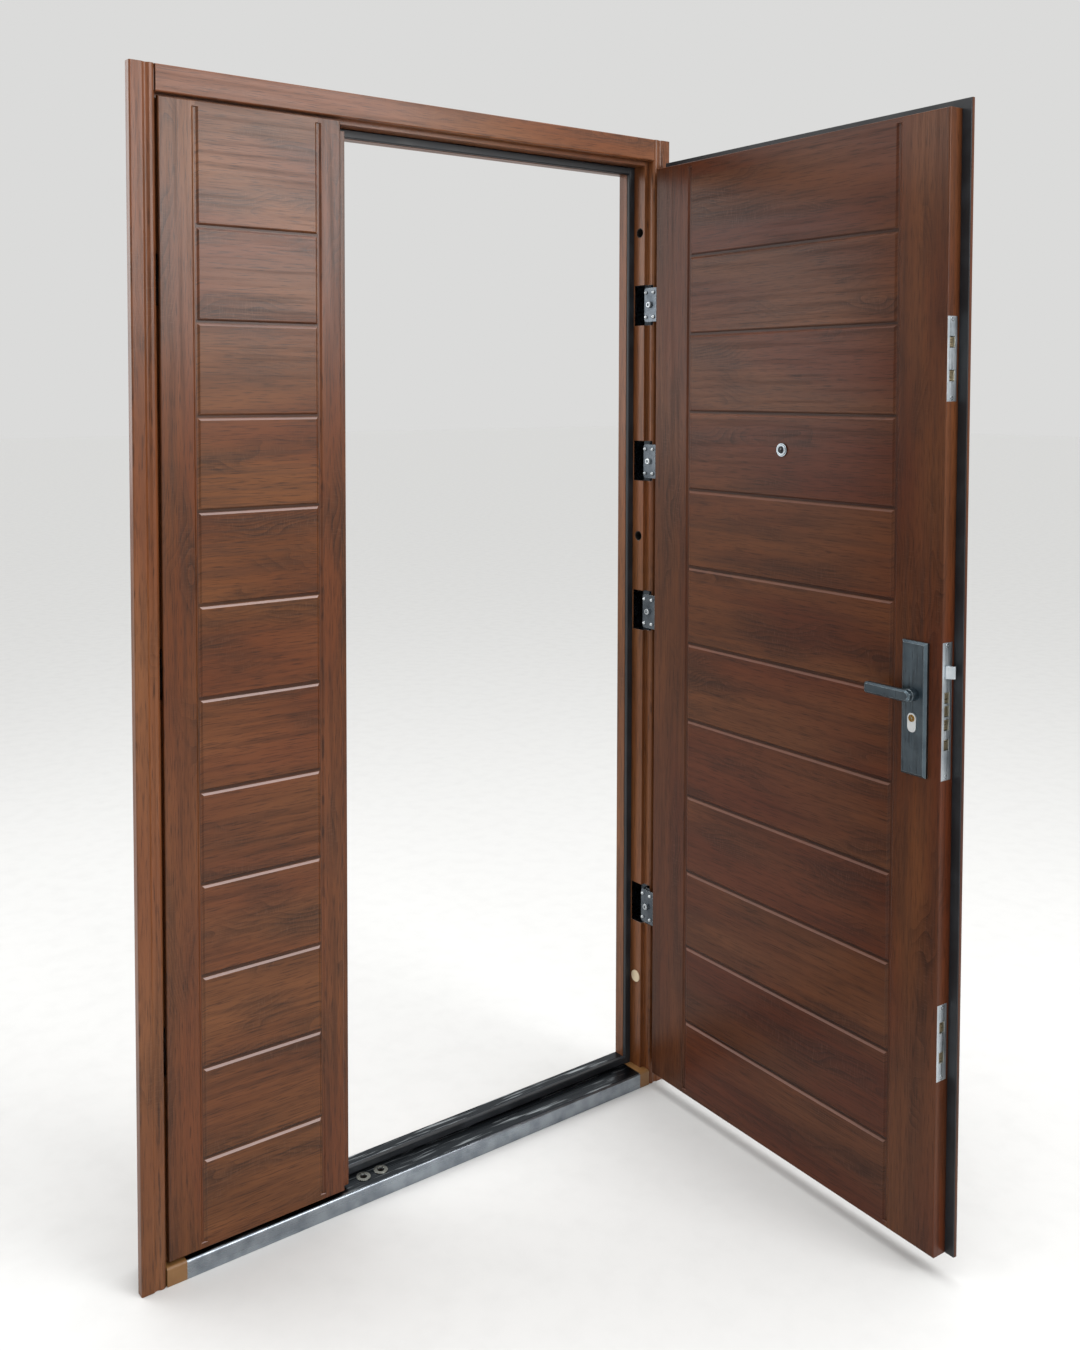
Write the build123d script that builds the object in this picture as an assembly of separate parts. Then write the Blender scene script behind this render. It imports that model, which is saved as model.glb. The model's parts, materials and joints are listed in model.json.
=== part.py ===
from build123d import *
import os
from math import radians, sin

# Overall size of the door set, in millimetres
FRAME_W = 1200.0
FRAME_H = 2050.0
FRAME_D = 80.0
SHEET = 2.0

# Folded frame section: widths from the wall side, depths from the front face
BAND_W = 22.0
FLUTE_W = 12.0
FLUTE_SAG = 2.5
BEND_R = 2.5
BEAD_R = 8.0
FLANGE_W = 45.0
HEM = 16.0
STEP_DEPTH = 19.0
REBATE_W = 54.0
STOP_DEPTH = 57.0
STOP_W = 71.0
REAR_RETURN = 41.0

# Seals on the stops
SEAL_W = 16.0
SEAL_T = 7.0
SEAL_R = 2.5

# Threshold
TREAD_H = 32.0
THRESHOLD_STOP_H = 47.0
NOSE_R = 5.0
CLADDING_T = 1.2
CLADDING_INSET = 81.0
SOCKET_OFFSETS = (31.0, 69.0)
SOCKET_DEPTH = 30.0
SOCKET_R = 13.5
SOCKET_HOLE_R = 7.0
SOCKET_PROUD = 1.5
SOCKET_WELL = 16.0
SOCKET_WELL_H = 14.0

# Clearances
LEAF_GAP = 5.0
FLOOR_GAP = 6.0
BOX_TOP_GAP = 12.0
SIDE_LIP_GAP = 5.5
MEETING_GAP = 6.0
LEDGE_GAP = 8.0
PIN_PLAY = 0.05
SLIDE_PLAY = 0.5
BOLT_PLAY = 1.5
OVERCUT = 5.0

# Both leaves
FACE_DEPTH = 5.0
LIP_T = 7.0
GASKET_T = 2.0
GASKET_RIM = 0.5
LEAF_T = 40.0
EDGE_R = 2.0
GROOVE_W = 12.0
GROOVE_FLOOR_W = 5.0
GROOVE_DEPTH = 3.0
GROOVE_COUNT = 11
GROOVE_END = 10.0
TOP_PLANK = 192.0
BOTTOM_PLANK = 156.0

# Main leaf
MAIN_BOX_W = 724.0
MAIN_LIP = 18.0
MAIN_HINGE_LIP = 7.0
MAIN_STILE = 102.0
MAIN_REST = 87.6
MAIN_PIVOT_A = 24.0
MAIN_PIVOT_B = 15.0

# Side leaf
SIDE_HINGE_STILE = 64.5
SIDE_MEETING_STILE = 45.0
SIDE_PIVOT_A = 26.0
SIDE_PIVOT_B = 11.0

# Concealed gooseneck hinges
HINGE_LOW_Z = (397.0, 1042.0)
HINGE_TOP_DROP = (684.0, 350.0)
CUTOUT_H = 86.0
CUTOUT_FRONT = 3.0
CUTOUT_BACK = 50.0
ARM_H = 72.0
ARM_PLATE_T = 3.5
ARM_PLATE_INSET = 0.5
ARM_TAIL = 3.0
ARM_LEG_W = 6.0
ARM_CORNER = 4.0
MAIN_KNUCKLE_R = 7.0
SIDE_KNUCKLE_R = 6.0
KNUCKLE_H = 47.0
EYE_SIDES = 8
PIN_R = 4.0
EAR_T = 8.0
EAR_GAP = 0.5
EAR_REACH = 12.0
BOX_WALL = 2.0
BOX_MARGIN = 13.0
BOX_TAPER = 7.0
BOX_FRONT = 5.0
BOX_FRONT_W = 6.0
BOX_BACK = 56.0
BOX_SLACK = 1.0

# Wall anchor holes in the jambs
ANCHOR_LOW_Z = (232.0, 1203.0)
ANCHOR_TOP_DROP = 195.0
ANCHOR_DEPTH = 34.0
ANCHOR_R = 10.5
CAP_RIM_R = 12.5
CAP_RIM_T = 2.0
CAP_PLUG = 4.0
PLUG_SIDES = 12

# Locks in the free edge of the main leaf
LOCK_DEPTH = 31.0
LOCK_PLATE_W = 25.0
LOCK_PLATE_T = 3.0
MAIN_LOCK_LOW = 861.0
MAIN_LOCK_H = 234.0
UPPER_LOCK_LOW = 1499.0
UPPER_LOCK_H = 142.0
LOWER_LOCK_LOW = 344.0
LOWER_LOCK_H = 132.0
MAIN_BOLT_SHARES = (0.256, 0.402, 0.5, 0.598)
PAIR_BOLT_SHARES = (0.303, 0.697)
LATCH_SHARE = 0.786
BOLT_W = 12.0
BOLT_H = 18.0
BOLT_LENGTH = 40.0
BOLT_SET_BACK = 1.5
BOLT_TIP = 1.5
MORTISE_W = 18.0
MORTISE_D = 62.0
MORTISE_END = 8.0
LATCH_H = 21.0
LATCH_W = 12.0
LATCH_OUT = 12.0
LATCH_LENGTH = 40.0
LATCH_NOSE = 3.0
LATCH_LAND = 2.0
STRIKE_W = 23.0
STRIKE_DEPTH = 32.0

# Handle, cylinder and peephole
HANDLE_BACKSET = 51.0
PLATE_W = 51.0
PLATE_UP = 91.0
PLATE_DOWN = 140.0
PLATE_T = 9.0
PLATE_BEVEL = 4.0
LEVER_UP = 139.0
LEVER_L = 86.0
LEVER_H = 20.0
LEVER_T = 11.0
LEVER_GAP = 13.0
LEVER_BEVEL = 3.0
LEVER_TIP_R = 5.0
NECK_R = 11.0
NECK_GAP = 0.5
SPINDLE = 8.0
SPINDLE_HOLE = 14.0
CYLINDER_DOWN = 48.0
CYLINDER_W = 17.0
CYLINDER_H = 33.0
CYLINDER_PROUD = 2.5
PEEPHOLE_Z = 1405.0
PEEPHOLE_R = 12.5
PEEPHOLE_TUBE_R = 7.0
PEEPHOLE_T = 3.0

# Derived positions
INNER_DEPTH = FACE_DEPTH + LEAF_T
LIP_BACK = FACE_DEPTH + LIP_T
GASKET_BACK = LIP_BACK + GASKET_T
LEAF_BOTTOM = TREAD_H + FLOOR_GAP
BOX_TOP = FRAME_H - REBATE_W - BOX_TOP_GAP
LIP_TOP = FRAME_H - FLANGE_W - LEAF_GAP
GROOVE_TOP_Z = BOX_TOP - TOP_PLANK
GROOVE_PITCH = (GROOVE_TOP_Z - LEAF_BOTTOM - BOTTOM_PLANK) / (GROOVE_COUNT - 1)
MAIN_HINGE_EDGE = FRAME_W - REBATE_W - LEAF_GAP
MAIN_FREE_EDGE = MAIN_HINGE_EDGE - MAIN_BOX_W
MAIN_LIP_EDGE = MAIN_FREE_EDGE - MAIN_LIP
SIDE_HINGE_EDGE = REBATE_W + LEAF_GAP
SIDE_LIP_START = FLANGE_W + SIDE_LIP_GAP
SIDE_FACE_EDGE = MAIN_LIP_EDGE - MEETING_GAP
SIDE_LEDGE_END = MAIN_FREE_EDGE - LEDGE_GAP
SIDE_GROOVES = (SIDE_LIP_START + SIDE_HINGE_STILE, SIDE_FACE_EDGE - SIDE_MEETING_STILE)
MAIN_GROOVES = (MAIN_FREE_EDGE + MAIN_STILE, MAIN_HINGE_EDGE - MAIN_STILE)
SOCKET_X = tuple(MAIN_FREE_EDGE + offset_x for offset_x in SOCKET_OFFSETS)
HINGE_Z = HINGE_LOW_Z + tuple(FRAME_H - drop for drop in HINGE_TOP_DROP)
SIDE_HINGE_Z = HINGE_LOW_Z + (HINGE_Z[-1],)
ANCHOR_Z = ANCHOR_LOW_Z + (FRAME_H - ANCHOR_TOP_DROP,)
PEEPHOLE_X = MAIN_HINGE_EDGE - MAIN_BOX_W / 2
LOCK_SPANS = {
    "main": (MAIN_LOCK_LOW, MAIN_LOCK_LOW + MAIN_LOCK_H),
    "upper": (UPPER_LOCK_LOW, UPPER_LOCK_LOW + UPPER_LOCK_H),
    "lower": (LOWER_LOCK_LOW, LOWER_LOCK_LOW + LOWER_LOCK_H),
}
BOLT_HEIGHTS = {
    "main": [MAIN_LOCK_LOW + share * MAIN_LOCK_H for share in MAIN_BOLT_SHARES],
    "upper": [UPPER_LOCK_LOW + share * UPPER_LOCK_H for share in PAIR_BOLT_SHARES],
    "lower": [LOWER_LOCK_LOW + share * LOWER_LOCK_H for share in PAIR_BOLT_SHARES],
}
LATCH_Z = MAIN_LOCK_LOW + LATCH_SHARE * MAIN_LOCK_H
LEVER_Z = MAIN_LOCK_LOW + LEVER_UP
CYLINDER_Z = LEVER_Z - CYLINDER_DOWN
PLATE_Z = (LEVER_Z - PLATE_DOWN, LEVER_Z + PLATE_UP)
HANDLE_X = MAIN_FREE_EDGE + HANDLE_BACKSET
SEAL_FRONT = STOP_DEPTH - SEAL_T
MAIN_PIVOT_X = FRAME_W - MAIN_PIVOT_A
CUT_FRONT = FACE_DEPTH - PLATE_T - OVERCUT
CUT_BACK = INNER_DEPTH + PLATE_T + OVERCUT


def at(x, depth, z):
    """A point from the left edge, the front face and the floor, in the part's own frame."""
    return Vector(x - FRAME_W / 2, depth - FRAME_D / 2, z)


def block(x0, x1, d0, d1, z0, z1):
    low = at(min(x0, x1), min(d0, d1), min(z0, z1))
    size = (abs(x1 - x0), abs(d1 - d0), abs(z1 - z0))
    return Pos(*low) * Box(*size, align=(Align.MIN, Align.MIN, Align.MIN))


def rod(x, depth, z0, z1, radius):
    return Pos(*at(x, depth, z0)) * Cylinder(radius, z1 - z0, align=(Align.CENTER, Align.CENTER, Align.MIN))


def rod_x(x0, x1, depth, z, radius):
    place = Pos(*at(x0, depth, z)) * Rot(0, 90, 0)
    return place * Cylinder(radius, x1 - x0, align=(Align.CENTER, Align.CENTER, Align.MIN))


def rod_y(x, d0, d1, z, radius):
    place = Pos(*at(x, d0, z)) * Rot(-90, 0, 0)
    return place * Cylinder(radius, d1 - d0, align=(Align.CENTER, Align.CENTER, Align.MIN))


def prism(points, z0, z1):
    """A plan outline of x and depth pairs, raised between two heights."""
    face = make_face(Polyline(*[at(x, d, z0) for x, d in points], close=True))
    return extrude(face, amount=z1 - z0, dir=(0, 0, 1))


def mirror_x(shape):
    return mirror(shape, about=Plane.YZ)


def opened(shape):
    """Swings a piece of the main leaf from closed to its resting angle."""
    pivot = at(MAIN_PIVOT_X, MAIN_PIVOT_B, 0)
    return Pos(*pivot) * Rot(0, 0, MAIN_REST) * Pos(*(-pivot)) * shape


def save(name, shape):
    solids = shape.solids()
    kept = solids[0] if len(solids) == 1 else Compound(children=list(solids))
    export_step(kept, "parts/" + name + ".step")


# Folded sections: the visible line of the bends, thickened by the sheet
def folded(path):
    outline = offset(Wire(path), amount=SHEET, side=Side.LEFT, kind=Kind.INTERSECTION, closed=True)
    return make_face(outline.edges())


def rebate_line(start):
    """From a point on the reveal over both rebate steps and the stop to the rear return."""
    return Polyline(
        start,
        (FLANGE_W, STEP_DEPTH),
        (REBATE_W, STEP_DEPTH),
        (REBATE_W, STOP_DEPTH),
        (STOP_W, STOP_DEPTH),
        (STOP_W, FRAME_D),
        (STOP_W - REAR_RETURN, FRAME_D),
    )


def jamb_sheet():
    bead_end = FLANGE_W - BEAD_R
    bend = BEAD_R * sin(radians(45))
    flute_end = BAND_W + FLUTE_W
    band = FilletPolyline((0, HEM), (0, 0), (BAND_W, 0), radius=BEND_R)
    flute = ThreePointArc((BAND_W, 0), (BAND_W + FLUTE_W / 2, FLUTE_SAG), (flute_end, 0))
    flat = Line((flute_end, 0), (bead_end, 0))
    bead = ThreePointArc((bead_end, 0), (bead_end + bend, BEAD_R - bend), (FLANGE_W, BEAD_R))
    inner = rebate_line((FLANGE_W, BEAD_R))
    path = band.edges() + flute.edges() + flat.edges() + bead.edges() + inner.edges()
    return Pos(*at(0, 0, 0)) * extrude(folded(path), amount=FRAME_H)


def jamb_envelope():
    return prism(
        [
            (-OVERCUT, -OVERCUT),
            (FLANGE_W, -OVERCUT),
            (FLANGE_W, STEP_DEPTH),
            (REBATE_W, STEP_DEPTH),
            (REBATE_W, STOP_DEPTH),
            (STOP_W, STOP_DEPTH),
            (STOP_W, FRAME_D + OVERCUT),
            (-OVERCUT, FRAME_D + OVERCUT),
        ],
        -OVERCUT,
        FRAME_H + OVERCUT,
    )


def jamb(hinges):
    body = jamb_sheet()
    near = FLANGE_W - SHEET - OVERCUT
    far = REBATE_W + OVERCUT
    for z in hinges:
        body -= block(near, far, CUTOUT_FRONT, CUTOUT_BACK, z - CUTOUT_H / 2, z + CUTOUT_H / 2)
    for z in ANCHOR_Z[1:]:
        body -= rod_x(REBATE_W - OVERCUT, far, ANCHOR_DEPTH, z, ANCHOR_R)
    return body - cap_plug()


def cap_plug():
    """The many-sided plug that fills the lowest anchor hole."""
    place = Pos(*at(REBATE_W - CAP_PLUG, ANCHOR_DEPTH, ANCHOR_Z[0])) * Rot(0, 90, 0)
    return place * extrude(RegularPolygon(ANCHOR_R, PLUG_SIDES), amount=CAP_PLUG)


def anchor_cap():
    return cap_plug() + rod_x(REBATE_W, REBATE_W + CAP_RIM_T, ANCHOR_DEPTH, ANCHOR_Z[0], CAP_RIM_R)


# Head section, a plain flange over the same rebate steps
def head():
    flange = FilletPolyline((0, HEM), (0, 0), (FLANGE_W, 0), (FLANGE_W, BEAD_R), radius=BEND_R)
    path = flange.edges() + rebate_line((FLANGE_W, BEAD_R)).edges()
    bar = extrude(folded(path), amount=FRAME_W)
    # drop down, depth back, length across
    place = Plane(origin=at(0, 0, FRAME_H), x_dir=(0, 0, -1), z_dir=(1, 0, 0))
    body = place * bar
    return body - jamb_envelope() - mirror_x(jamb_envelope())


# Rubber seals with rounded front edges
def seal_bar(x0, x1, z0, z1):
    body = block(x0, x1, SEAL_FRONT, STOP_DEPTH, z0, z1)
    front = body.faces().sort_by(Axis.Y)[0]
    along = Axis.Z if z1 - z0 > x1 - x0 else Axis.X
    return fillet(front.edges().filter_by(along), SEAL_R)


# Threshold: solid core, folded stainless cladding and two sockets
def threshold_line():
    return FilletPolyline(
        (0, 0),
        (0, TREAD_H),
        (STOP_DEPTH, TREAD_H),
        (STOP_DEPTH, THRESHOLD_STOP_H),
        (FRAME_D, THRESHOLD_STOP_H),
        radius=(NOSE_R, 0, BEND_R),
    ).edges()


def threshold_bar(section, x0, x1):
    place = Plane(origin=at(x0, 0, 0), x_dir=(0, 1, 0), z_dir=(1, 0, 0))
    return place * extrude(section, amount=x1 - x0)


def threshold():
    base = Polyline((FRAME_D, THRESHOLD_STOP_H), (FRAME_D, 0), (0, 0))
    whole = threshold_bar(make_face(threshold_line() + base.edges()), 0, FRAME_W)
    whole = whole - jamb_envelope() - mirror_x(jamb_envelope())
    line = Wire(threshold_line())
    skin = offset(line, amount=CLADDING_T, side=Side.RIGHT, kind=Kind.INTERSECTION, closed=True)
    cladding = threshold_bar(make_face(skin.edges()), CLADDING_INSET, FRAME_W - STOP_W)
    core = whole - cladding
    half = SOCKET_WELL / 2
    below = TREAD_H - CLADDING_T
    for x in SOCKET_X:
        front = SOCKET_DEPTH - half
        core -= block(x - half, x + half, front, front + SOCKET_WELL, below - SOCKET_WELL_H, below)
        cladding -= rod(x, SOCKET_DEPTH, TREAD_H - OVERCUT, TREAD_H + OVERCUT, SOCKET_HOLE_R)
    return core, cladding


def socket(x):
    ring = rod(x, SOCKET_DEPTH, TREAD_H, TREAD_H + SOCKET_PROUD, SOCKET_R)
    return ring - rod(x, SOCKET_DEPTH, TREAD_H - OVERCUT, TREAD_H + OVERCUT, SOCKET_HOLE_R)


# Concealed gooseneck hinges, drawn for the left jamb and mirrored for the right
def hinge_box(pivot_a, pivot_b, z):
    """A folded pocket behind the rebate, with two ears that hold the pin."""
    low = z - CUTOUT_H / 2
    high = z + CUTOUT_H / 2
    side = pivot_a - BOX_MARGIN
    bend = BOX_BACK - 2 * BOX_TAPER
    wall = [
        (side + BOX_FRONT_W, BOX_FRONT),
        (side, BOX_FRONT),
        (side, bend),
        (side + BOX_TAPER, BOX_BACK),
        (REBATE_W - SHEET, BOX_BACK),
    ]
    rebate = [
        (REBATE_W - SHEET, STEP_DEPTH + SHEET),
        (FLANGE_W - SHEET, STEP_DEPTH + SHEET),
        (FLANGE_W - BEAD_R + BOX_SLACK, BOX_FRONT),
    ]
    line = Wire(Polyline(*[at(a, depth, low) for a, depth in wall]).edges())
    section = offset(line, amount=BOX_WALL, side=Side.RIGHT, kind=Kind.INTERSECTION, closed=True)
    body = extrude(make_face(section.edges()), amount=CUTOUT_H, dir=(0, 0, 1))
    body += prism(wall + rebate, low - BOX_WALL, low)
    body += prism(wall + rebate, high, high + BOX_WALL)
    ear_low = KNUCKLE_H / 2 + EAR_GAP
    inside = side + BOX_WALL
    for way in (-1, 1):
        near = z + way * ear_low
        far = z + way * (ear_low + EAR_T)
        body += block(inside, FLANGE_W - BEAD_R, BOX_FRONT + BOX_SLACK, pivot_b + EAR_REACH, near, far)
    return body + rod(pivot_a, pivot_b, z - ear_low - EAR_T, z + ear_low + EAR_T, PIN_R)


def hinge_arm(pivot_a, pivot_b, knuckle_r, edge, z):
    """A plate on the leaf's edge with a neck that reaches forward to the pin."""
    plate_back = INNER_DEPTH - ARM_PLATE_INSET
    plate_front = plate_back - ARM_PLATE_T
    half = KNUCKLE_H / 2
    tail = pivot_a - ARM_TAIL
    body = block(tail, edge, plate_front, plate_back, z - ARM_H / 2, z + ARM_H / 2)
    body = chamfer(body.edges().filter_by(Axis.Y).group_by(Axis.X)[0], ARM_CORNER)
    body += block(tail, tail + ARM_LEG_W, pivot_b, plate_front, z - half, z + half)
    eye = Rot(0, 0, 180 / EYE_SIDES) * RegularPolygon(knuckle_r, EYE_SIDES)
    body += Pos(*at(pivot_a, pivot_b, z - half)) * extrude(eye, amount=KNUCKLE_H)
    return body - rod(pivot_a, pivot_b, z - half - OVERCUT, z + half + OVERCUT, PIN_R + PIN_PLAY)


def each_hinge(heights, maker, *sizes):
    return Compound(children=[maker(*sizes, z) for z in heights])


# Pressed channels that divide each leaf into planks
def groove_z():
    return [GROOVE_TOP_Z - i * GROOVE_PITCH for i in range(GROOVE_COUNT)]


def channel(length):
    """A trapezoid trough along X, open to +Y at its rim, centred on the origin."""
    rim = GROOVE_W / 2
    floor = GROOVE_FLOOR_W / 2
    spread = rim + (rim - floor) * OVERCUT / GROOVE_DEPTH
    section = Polyline(
        (-GROOVE_DEPTH, -floor), (OVERCUT, -spread), (OVERCUT, spread), (-GROOVE_DEPTH, floor), close=True
    )
    place = Plane(origin=(-length / 2, 0, 0), x_dir=(0, 1, 0), z_dir=(1, 0, 0))
    return place * extrude(make_face(section), amount=length)


def pressed(slab, grooves, face, outward, top):
    """Presses the cross channels between two full-height ones into one face of a slab."""
    left, right = grooves
    turn = Rot(0, 0, 0) if outward > 0 else Rot(0, 0, 180)
    cross = turn * channel(right - left)
    for z in groove_z():
        slab -= Pos(*at((left + right) / 2, face, z)) * cross
    low = LEAF_BOTTOM + GROOVE_END
    high = top - GROOVE_END
    upright = turn * Rot(0, 90, 0) * channel(high - low)
    for x in grooves:
        slab -= Pos(*at(x, face, (low + high) / 2)) * upright
    return slab


def pill(x, d0, d1, z, width, height):
    tall = height - width
    body = block(x - width / 2, x + width / 2, d0, d1, z - tall / 2, z + tall / 2)
    body += rod_y(x, d0, d1, z - tall / 2, width / 2)
    return body + rod_y(x, d0, d1, z + tall / 2, width / 2)


def passage(z, width, height):
    """A square hole on the handle's centre line, through the leaf and both handle plates."""
    left = HANDLE_X - width / 2
    return block(left, left + width, CUT_FRONT, CUT_BACK, z - height / 2, z + height / 2)


def leaf_holes(body):
    """Passages for the spindle, the cylinder and the peephole."""
    body -= passage(LEVER_Z, SPINDLE_HOLE, SPINDLE_HOLE)
    body -= passage(CYLINDER_Z, CYLINDER_W + 2 * SLIDE_PLAY, CYLINDER_H + 2 * SLIDE_PLAY)
    return body - rod_y(PEEPHOLE_X, CUT_FRONT, CUT_BACK, PEEPHOLE_Z, PEEPHOLE_TUBE_R + SLIDE_PLAY)


def plate_passages(body):
    play = 2 * SLIDE_PLAY
    body -= passage(LEVER_Z, SPINDLE_HOLE, SPINDLE_HOLE)
    return body - pill(HANDLE_X, CUT_FRONT, CUT_BACK, CYLINDER_Z, CYLINDER_W + play, CYLINDER_H + play)


# Locks: edge plates over mortises, square bolts and a bevelled latch
def lock_plate(span):
    half = LOCK_PLATE_W / 2
    x = MAIN_FREE_EDGE
    return block(x, x + LOCK_PLATE_T, LOCK_DEPTH - half, LOCK_DEPTH + half, span[0], span[1])


def mortise(span):
    half = MORTISE_W / 2
    x = MAIN_FREE_EDGE
    low = span[0] + MORTISE_END
    high = span[1] - MORTISE_END
    return block(x, x + MORTISE_D, LOCK_DEPTH - half, LOCK_DEPTH + half, low, high)


def bar_at(x0, x1, z, width, height, play):
    half_w = width / 2 + play
    half_h = height / 2 + play
    return block(x0, x1, LOCK_DEPTH - half_w, LOCK_DEPTH + half_w, z - half_h, z + half_h)


def deadbolt(z):
    end = MAIN_FREE_EDGE + BOLT_SET_BACK
    body = bar_at(end, end + BOLT_LENGTH, z, BOLT_W, BOLT_H, 0)
    tip = body.faces().sort_by(Axis.X)[0]
    return chamfer(tip.edges(), BOLT_TIP)


def latch():
    tip = MAIN_FREE_EDGE - LATCH_OUT
    body = bar_at(tip, MAIN_FREE_EDGE + LATCH_LENGTH, LATCH_Z, LATCH_W, LATCH_H, 0)
    far = LOCK_DEPTH + LATCH_W / 2
    nose = LOCK_DEPTH - LATCH_W / 2 + LATCH_NOSE
    land = MAIN_FREE_EDGE - LATCH_LAND
    slope = [(tip, nose), (tip, far + OVERCUT), (land, far + OVERCUT), (land, far)]
    return body - prism(slope, LATCH_Z - LATCH_H, LATCH_Z + LATCH_H)


def bolt_holes(body, x0, x1, play):
    for heights in BOLT_HEIGHTS.values():
        for z in heights:
            body -= bar_at(x0, x1, z, BOLT_W, BOLT_H, play)
    return body - bar_at(x0, x1, LATCH_Z, LATCH_W, LATCH_H, play)


def plate_holes(body):
    return bolt_holes(body, MAIN_FREE_EDGE - OVERCUT, MAIN_FREE_EDGE + LOCK_PLATE_T + OVERCUT, SLIDE_PLAY)


def strike_plate(span):
    half = STRIKE_W / 2
    x = SIDE_LEDGE_END
    return block(x - LOCK_PLATE_T, x, STRIKE_DEPTH - half, STRIKE_DEPTH + half, span[0], span[1])


def strike_holes(body):
    return bolt_holes(body, SIDE_FACE_EDGE, SIDE_LEDGE_END + OVERCUT, BOLT_PLAY)


# Handle set, drawn on the face at one depth and facing one way
def handle_plate(face, outward):
    body = block(
        HANDLE_X - PLATE_W / 2, HANDLE_X + PLATE_W / 2, face, face + outward * PLATE_T, PLATE_Z[0], PLATE_Z[1]
    )
    front = body.faces().sort_by(Axis.Y)[-1 if outward > 0 else 0]
    return plate_passages(chamfer(front.edges(), PLATE_BEVEL))


def lever(face, outward):
    start = face + outward * (PLATE_T + NECK_GAP)
    near = face + outward * (PLATE_T + LEVER_GAP)
    grip = Circle(LEVER_H / 2) + Pos(LEVER_L / 2, 0) * Rectangle(LEVER_L, LEVER_H)
    grip = fillet(grip.vertices().group_by(Axis.X)[-1], LEVER_TIP_R)
    place = Plane(origin=at(HANDLE_X, near, LEVER_Z), x_dir=(1, 0, 0), z_dir=(0, outward, 0))
    bar = place * extrude(grip, amount=LEVER_T)
    front = bar.faces().sort_by(Axis.Y)[-1 if outward > 0 else 0]
    bar = chamfer(front.edges(), LEVER_BEVEL)
    return bar + rod_y(HANDLE_X, min(start, near), max(start, near), LEVER_Z, NECK_R)


def spindle():
    half = SPINDLE / 2
    outer = FACE_DEPTH - PLATE_T - NECK_GAP
    inner = INNER_DEPTH + PLATE_T + NECK_GAP
    return block(HANDLE_X - half, HANDLE_X + half, outer, inner, LEVER_Z - half, LEVER_Z + half)


def cylinder_lock():
    outer = FACE_DEPTH - PLATE_T - CYLINDER_PROUD
    inner = INNER_DEPTH + PLATE_T + CYLINDER_PROUD
    return pill(HANDLE_X, outer, inner, CYLINDER_Z, CYLINDER_W, CYLINDER_H)


def peephole():
    x = PEEPHOLE_X
    body = rod_y(x, FACE_DEPTH, INNER_DEPTH, PEEPHOLE_Z, PEEPHOLE_TUBE_R)
    body += rod_y(x, INNER_DEPTH, INNER_DEPTH + PEEPHOLE_T, PEEPHOLE_Z, PEEPHOLE_R)
    return body + rod_y(x, FACE_DEPTH - PEEPHOLE_T, FACE_DEPTH, PEEPHOLE_Z, PEEPHOLE_R)


# Main leaf pressings
def softened(slab, face):
    """Rounds the bent rim of one face of a slab, before its channels are pressed."""
    return fillet(slab.faces().sort_by(Axis.Y)[face].edges(), EDGE_R)


def main_pan():
    body = block(MAIN_FREE_EDGE, MAIN_HINGE_EDGE, LIP_BACK, INNER_DEPTH, LEAF_BOTTOM, BOX_TOP)
    body = pressed(softened(body, -1), MAIN_GROOVES, INNER_DEPTH, 1, BOX_TOP)
    body = leaf_holes(body)
    for span in LOCK_SPANS.values():
        body -= lock_plate(span)
        body -= mortise(span)
    return body


def main_skin():
    right = MAIN_HINGE_EDGE + MAIN_HINGE_LIP
    body = block(MAIN_LIP_EDGE, right, FACE_DEPTH, LIP_BACK, LEAF_BOTTOM, LIP_TOP)
    return leaf_holes(pressed(softened(body, 0), MAIN_GROOVES, FACE_DEPTH, -1, LIP_TOP))


def gasket(left, right, box_left, box_right):
    """A rubber strip on the lip, up both sides and over the top of the leaf box."""
    rim = GASKET_RIM
    body = block(left + rim, right - rim, LIP_BACK, GASKET_BACK, LEAF_BOTTOM, LIP_TOP - rim)
    return body - block(box_left, box_right, 0, FRAME_D, 0, BOX_TOP)


# Side leaf pressings
def side_skin():
    body = softened(block(SIDE_LIP_START, SIDE_FACE_EDGE, FACE_DEPTH, LIP_BACK, LEAF_BOTTOM, LIP_TOP), 0)
    body += block(SIDE_HINGE_EDGE, SIDE_FACE_EDGE, LIP_BACK, STEP_DEPTH, LEAF_BOTTOM, BOX_TOP)
    return pressed(body, SIDE_GROOVES, FACE_DEPTH, -1, LIP_TOP)


def side_pan():
    body = block(SIDE_HINGE_EDGE, SIDE_LEDGE_END, STEP_DEPTH, INNER_DEPTH, LEAF_BOTTOM, BOX_TOP)
    body = strike_holes(pressed(softened(body, -1), SIDE_GROOVES, INNER_DEPTH, 1, BOX_TOP))
    for span in LOCK_SPANS.values():
        body -= strike_plate(span)
    return body


os.makedirs("parts", exist_ok=True)

save("side_jamb", jamb(SIDE_HINGE_Z))
save("hinge_jamb", mirror_x(jamb(HINGE_Z)))
save("head", head())

core, cladding = threshold()
save("threshold_core", core)
save("threshold_cladding", cladding)
save("floor_bolt_sockets", Compound(children=[socket(x) for x in SOCKET_X]))

rebate_top = FRAME_H - REBATE_W
seal = seal_bar(REBATE_W, REBATE_W + SEAL_W, TREAD_H, rebate_top)
save("side_jamb_seal", seal)
save("hinge_jamb_seal", mirror_x(seal))
seal_left = REBATE_W + SEAL_W
seal_right = FRAME_W - seal_left
save("head_seal", seal_bar(seal_left, seal_right, rebate_top - SEAL_W, rebate_top))
save("threshold_seal", seal_bar(seal_left, seal_right, TREAD_H, THRESHOLD_STOP_H))
save("anchor_hole_caps", Compound(children=[anchor_cap(), mirror_x(anchor_cap())]))

save("side_hinge_boxes", each_hinge(SIDE_HINGE_Z, hinge_box, SIDE_PIVOT_A, SIDE_PIVOT_B))
save("main_hinge_boxes", mirror_x(each_hinge(HINGE_Z, hinge_box, MAIN_PIVOT_A, MAIN_PIVOT_B)))

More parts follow.
